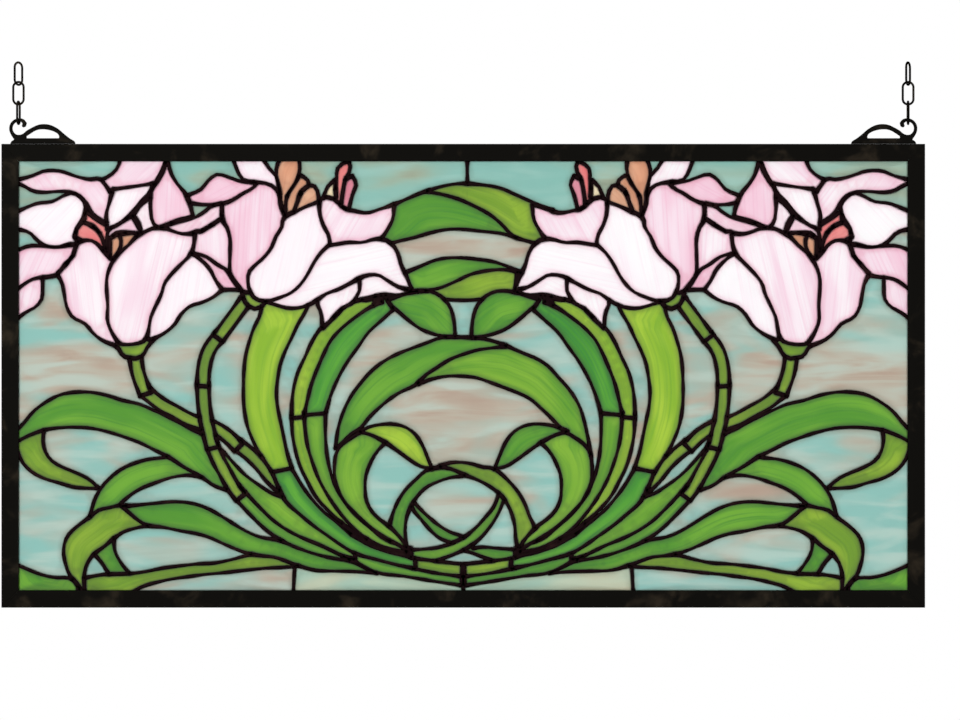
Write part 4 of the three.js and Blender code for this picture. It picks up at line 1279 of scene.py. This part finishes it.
def hook(side):
    """The hook of one side, set on the channel at the CAD hook's outer end."""
    low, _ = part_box(f"hook_{side}")
    turn = 1 if side == "left" else -1
    outer = turn * (PANEL_LEFT + HOOK_INSET)
    shapes = union_loops([smooth_outline(CASTING), smooth_outline(band(SCROLL, SCROLL_WIDTHS))])
    shapes.append(smooth_outline(HALF_MOON))
    loops = [np.asarray(loop) * MM * (turn, 1) + (outer, low[2]) for loop in shapes]
    mesh = rounded_slab(f"scroll_hook_{side}", loops, HOOK_HALF_DEPTH, HOOK_ROUND)
    return add_piece(f"scroll_hook_{side}", mesh, [f"hook_{side}"], [black_metal])


for side in ("left", "right"):
    print("hook", side, len(hook(side).data.polygons), "faces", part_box(f"hook_{side}"))

# %% [markdown]
# ## Chain links
# A link is a round wire bent into a long oval: two half circles joined by straight sides. It
# takes its place from the CAD link and turns about the upright axis.

# %% Links
LINK_STEPS = 40
WIRE_SIDES = 12


def link(side, number):
    """One link: the wire's circle swept round the oval, then turned and moved into place."""
    low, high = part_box(f"link_{side}_{number}")
    centre = (np.array(low) + np.array(high)) / 2
    bend = (LINK_WIDTH - LINK_WIRE) / 2
    straight = (LINK_LENGTH - LINK_WIDTH) / 2
    angle = np.arange(LINK_STEPS) * 2 * np.pi / LINK_STEPS + np.pi / LINK_STEPS
    path = np.stack([np.cos(angle), np.sin(angle)], axis=1)
    around = np.arange(WIRE_SIDES) * 2 * np.pi / WIRE_SIDES
    reach = bend + LINK_WIRE / 2 * np.cos(around)
    flat_x = path[:, :1] * reach
    up = path[:, 1:] * reach + np.sign(path[:, 1:]) * straight
    depth = np.broadcast_to(LINK_WIRE / 2 * np.sin(around), flat_x.shape)
    turn = math.radians(LINK_TURNS[side][number - 1])
    turned_x = flat_x * math.cos(turn) - depth * math.sin(turn)
    turned_y = flat_x * math.sin(turn) + depth * math.cos(turn)
    rows = np.stack([turned_x, turned_y, up], axis=-1) + centre
    name = f"chain_link_{side}_{number}"
    mesh = outward(mesh_from(name, *tube(rows, closed=True), smooth=True))
    add_piece(name, mesh, [f"link_{side}_{number}"], [black_metal])


for side, turns in LINK_TURNS.items():
    for number in range(1, len(turns) + 1):
        link(side, number)

# %% [markdown]
# ## Light, camera and floor
# The panel hangs against plain white light, so the glass glows with its own colours. The camera
# looks level at the panel from the front. A small pale floor lies below it for other views.

# %% Light and camera
SKY_SEEN = 1.0
SKY_LIGHT = 1.12
FLOOR_DROP = 0.16
FLOOR_HALF_WIDE = 0.7
FLOOR_HALF_DEEP = 0.5
LAMP_WATTS = 4
LAMP_SIZE = 0.8
LAMP_PLACE = (-0.7, -1.6, 0.5)
LAMP_TURN = (66, 0, -24)
CAMERA_LENS = 121.65
CAMERA_PLACE = (0.0129, -2.5, -0.2284)

world = bpy.data.worlds.new("white_sky")
world.use_nodes = True
sky = world.node_tree.nodes["Background"]
sky.inputs["Color"].default_value = (1, 1, 1, 1)
rays = node(world.node_tree, "ShaderNodeLightPath")
strength = node(world.node_tree, "ShaderNodeMapRange", {
    "Value": rays.outputs["Is Camera Ray"], "To Min": SKY_LIGHT, "To Max": SKY_SEEN})
world.node_tree.links.new(strength.outputs["Result"], sky.inputs["Strength"])
scene = bpy.context.scene
scene.world = world
scene.view_settings.view_transform = "Standard"

floor_points = np.array([(x, y, 0) for x, y in ((-1, -1), (1, -1), (1, 1), (-1, 1))])
floor_points = floor_points * (FLOOR_HALF_WIDE, FLOOR_HALF_DEEP, 0) + (0, 0, PANEL_BOTTOM - FLOOR_DROP)
floor = bpy.data.objects.new("floor", mesh_from("floor", floor_points, [[0, 1, 2, 3]]))
scene.collection.objects.link(floor)
pale = bpy.data.materials.new("pale_floor")
pale.use_nodes = True
pale.node_tree.nodes["Principled BSDF"].inputs["Base Color"].default_value = (0.85, 0.85, 0.84, 1)
pale.node_tree.nodes["Principled BSDF"].inputs["Roughness"].default_value = 0.8
floor.data.materials.append(pale)

lamp_data = bpy.data.lights.new("window_light", "AREA")
lamp_data.energy = LAMP_WATTS
lamp_data.size = LAMP_SIZE
lamp = bpy.data.objects.new("window_light", lamp_data)
lamp.location = LAMP_PLACE
lamp.rotation_euler = tuple(math.radians(turn) for turn in LAMP_TURN)
scene.collection.objects.link(lamp)

camera_data = bpy.data.cameras.new("front_camera")
camera_data.lens = CAMERA_LENS
camera_data.sensor_width = 36
camera = bpy.data.objects.new("front_camera", camera_data)
camera.location = CAMERA_PLACE
camera.rotation_euler = (math.radians(90), 0, 0)
scene.collection.objects.link(camera)
scene.camera = camera
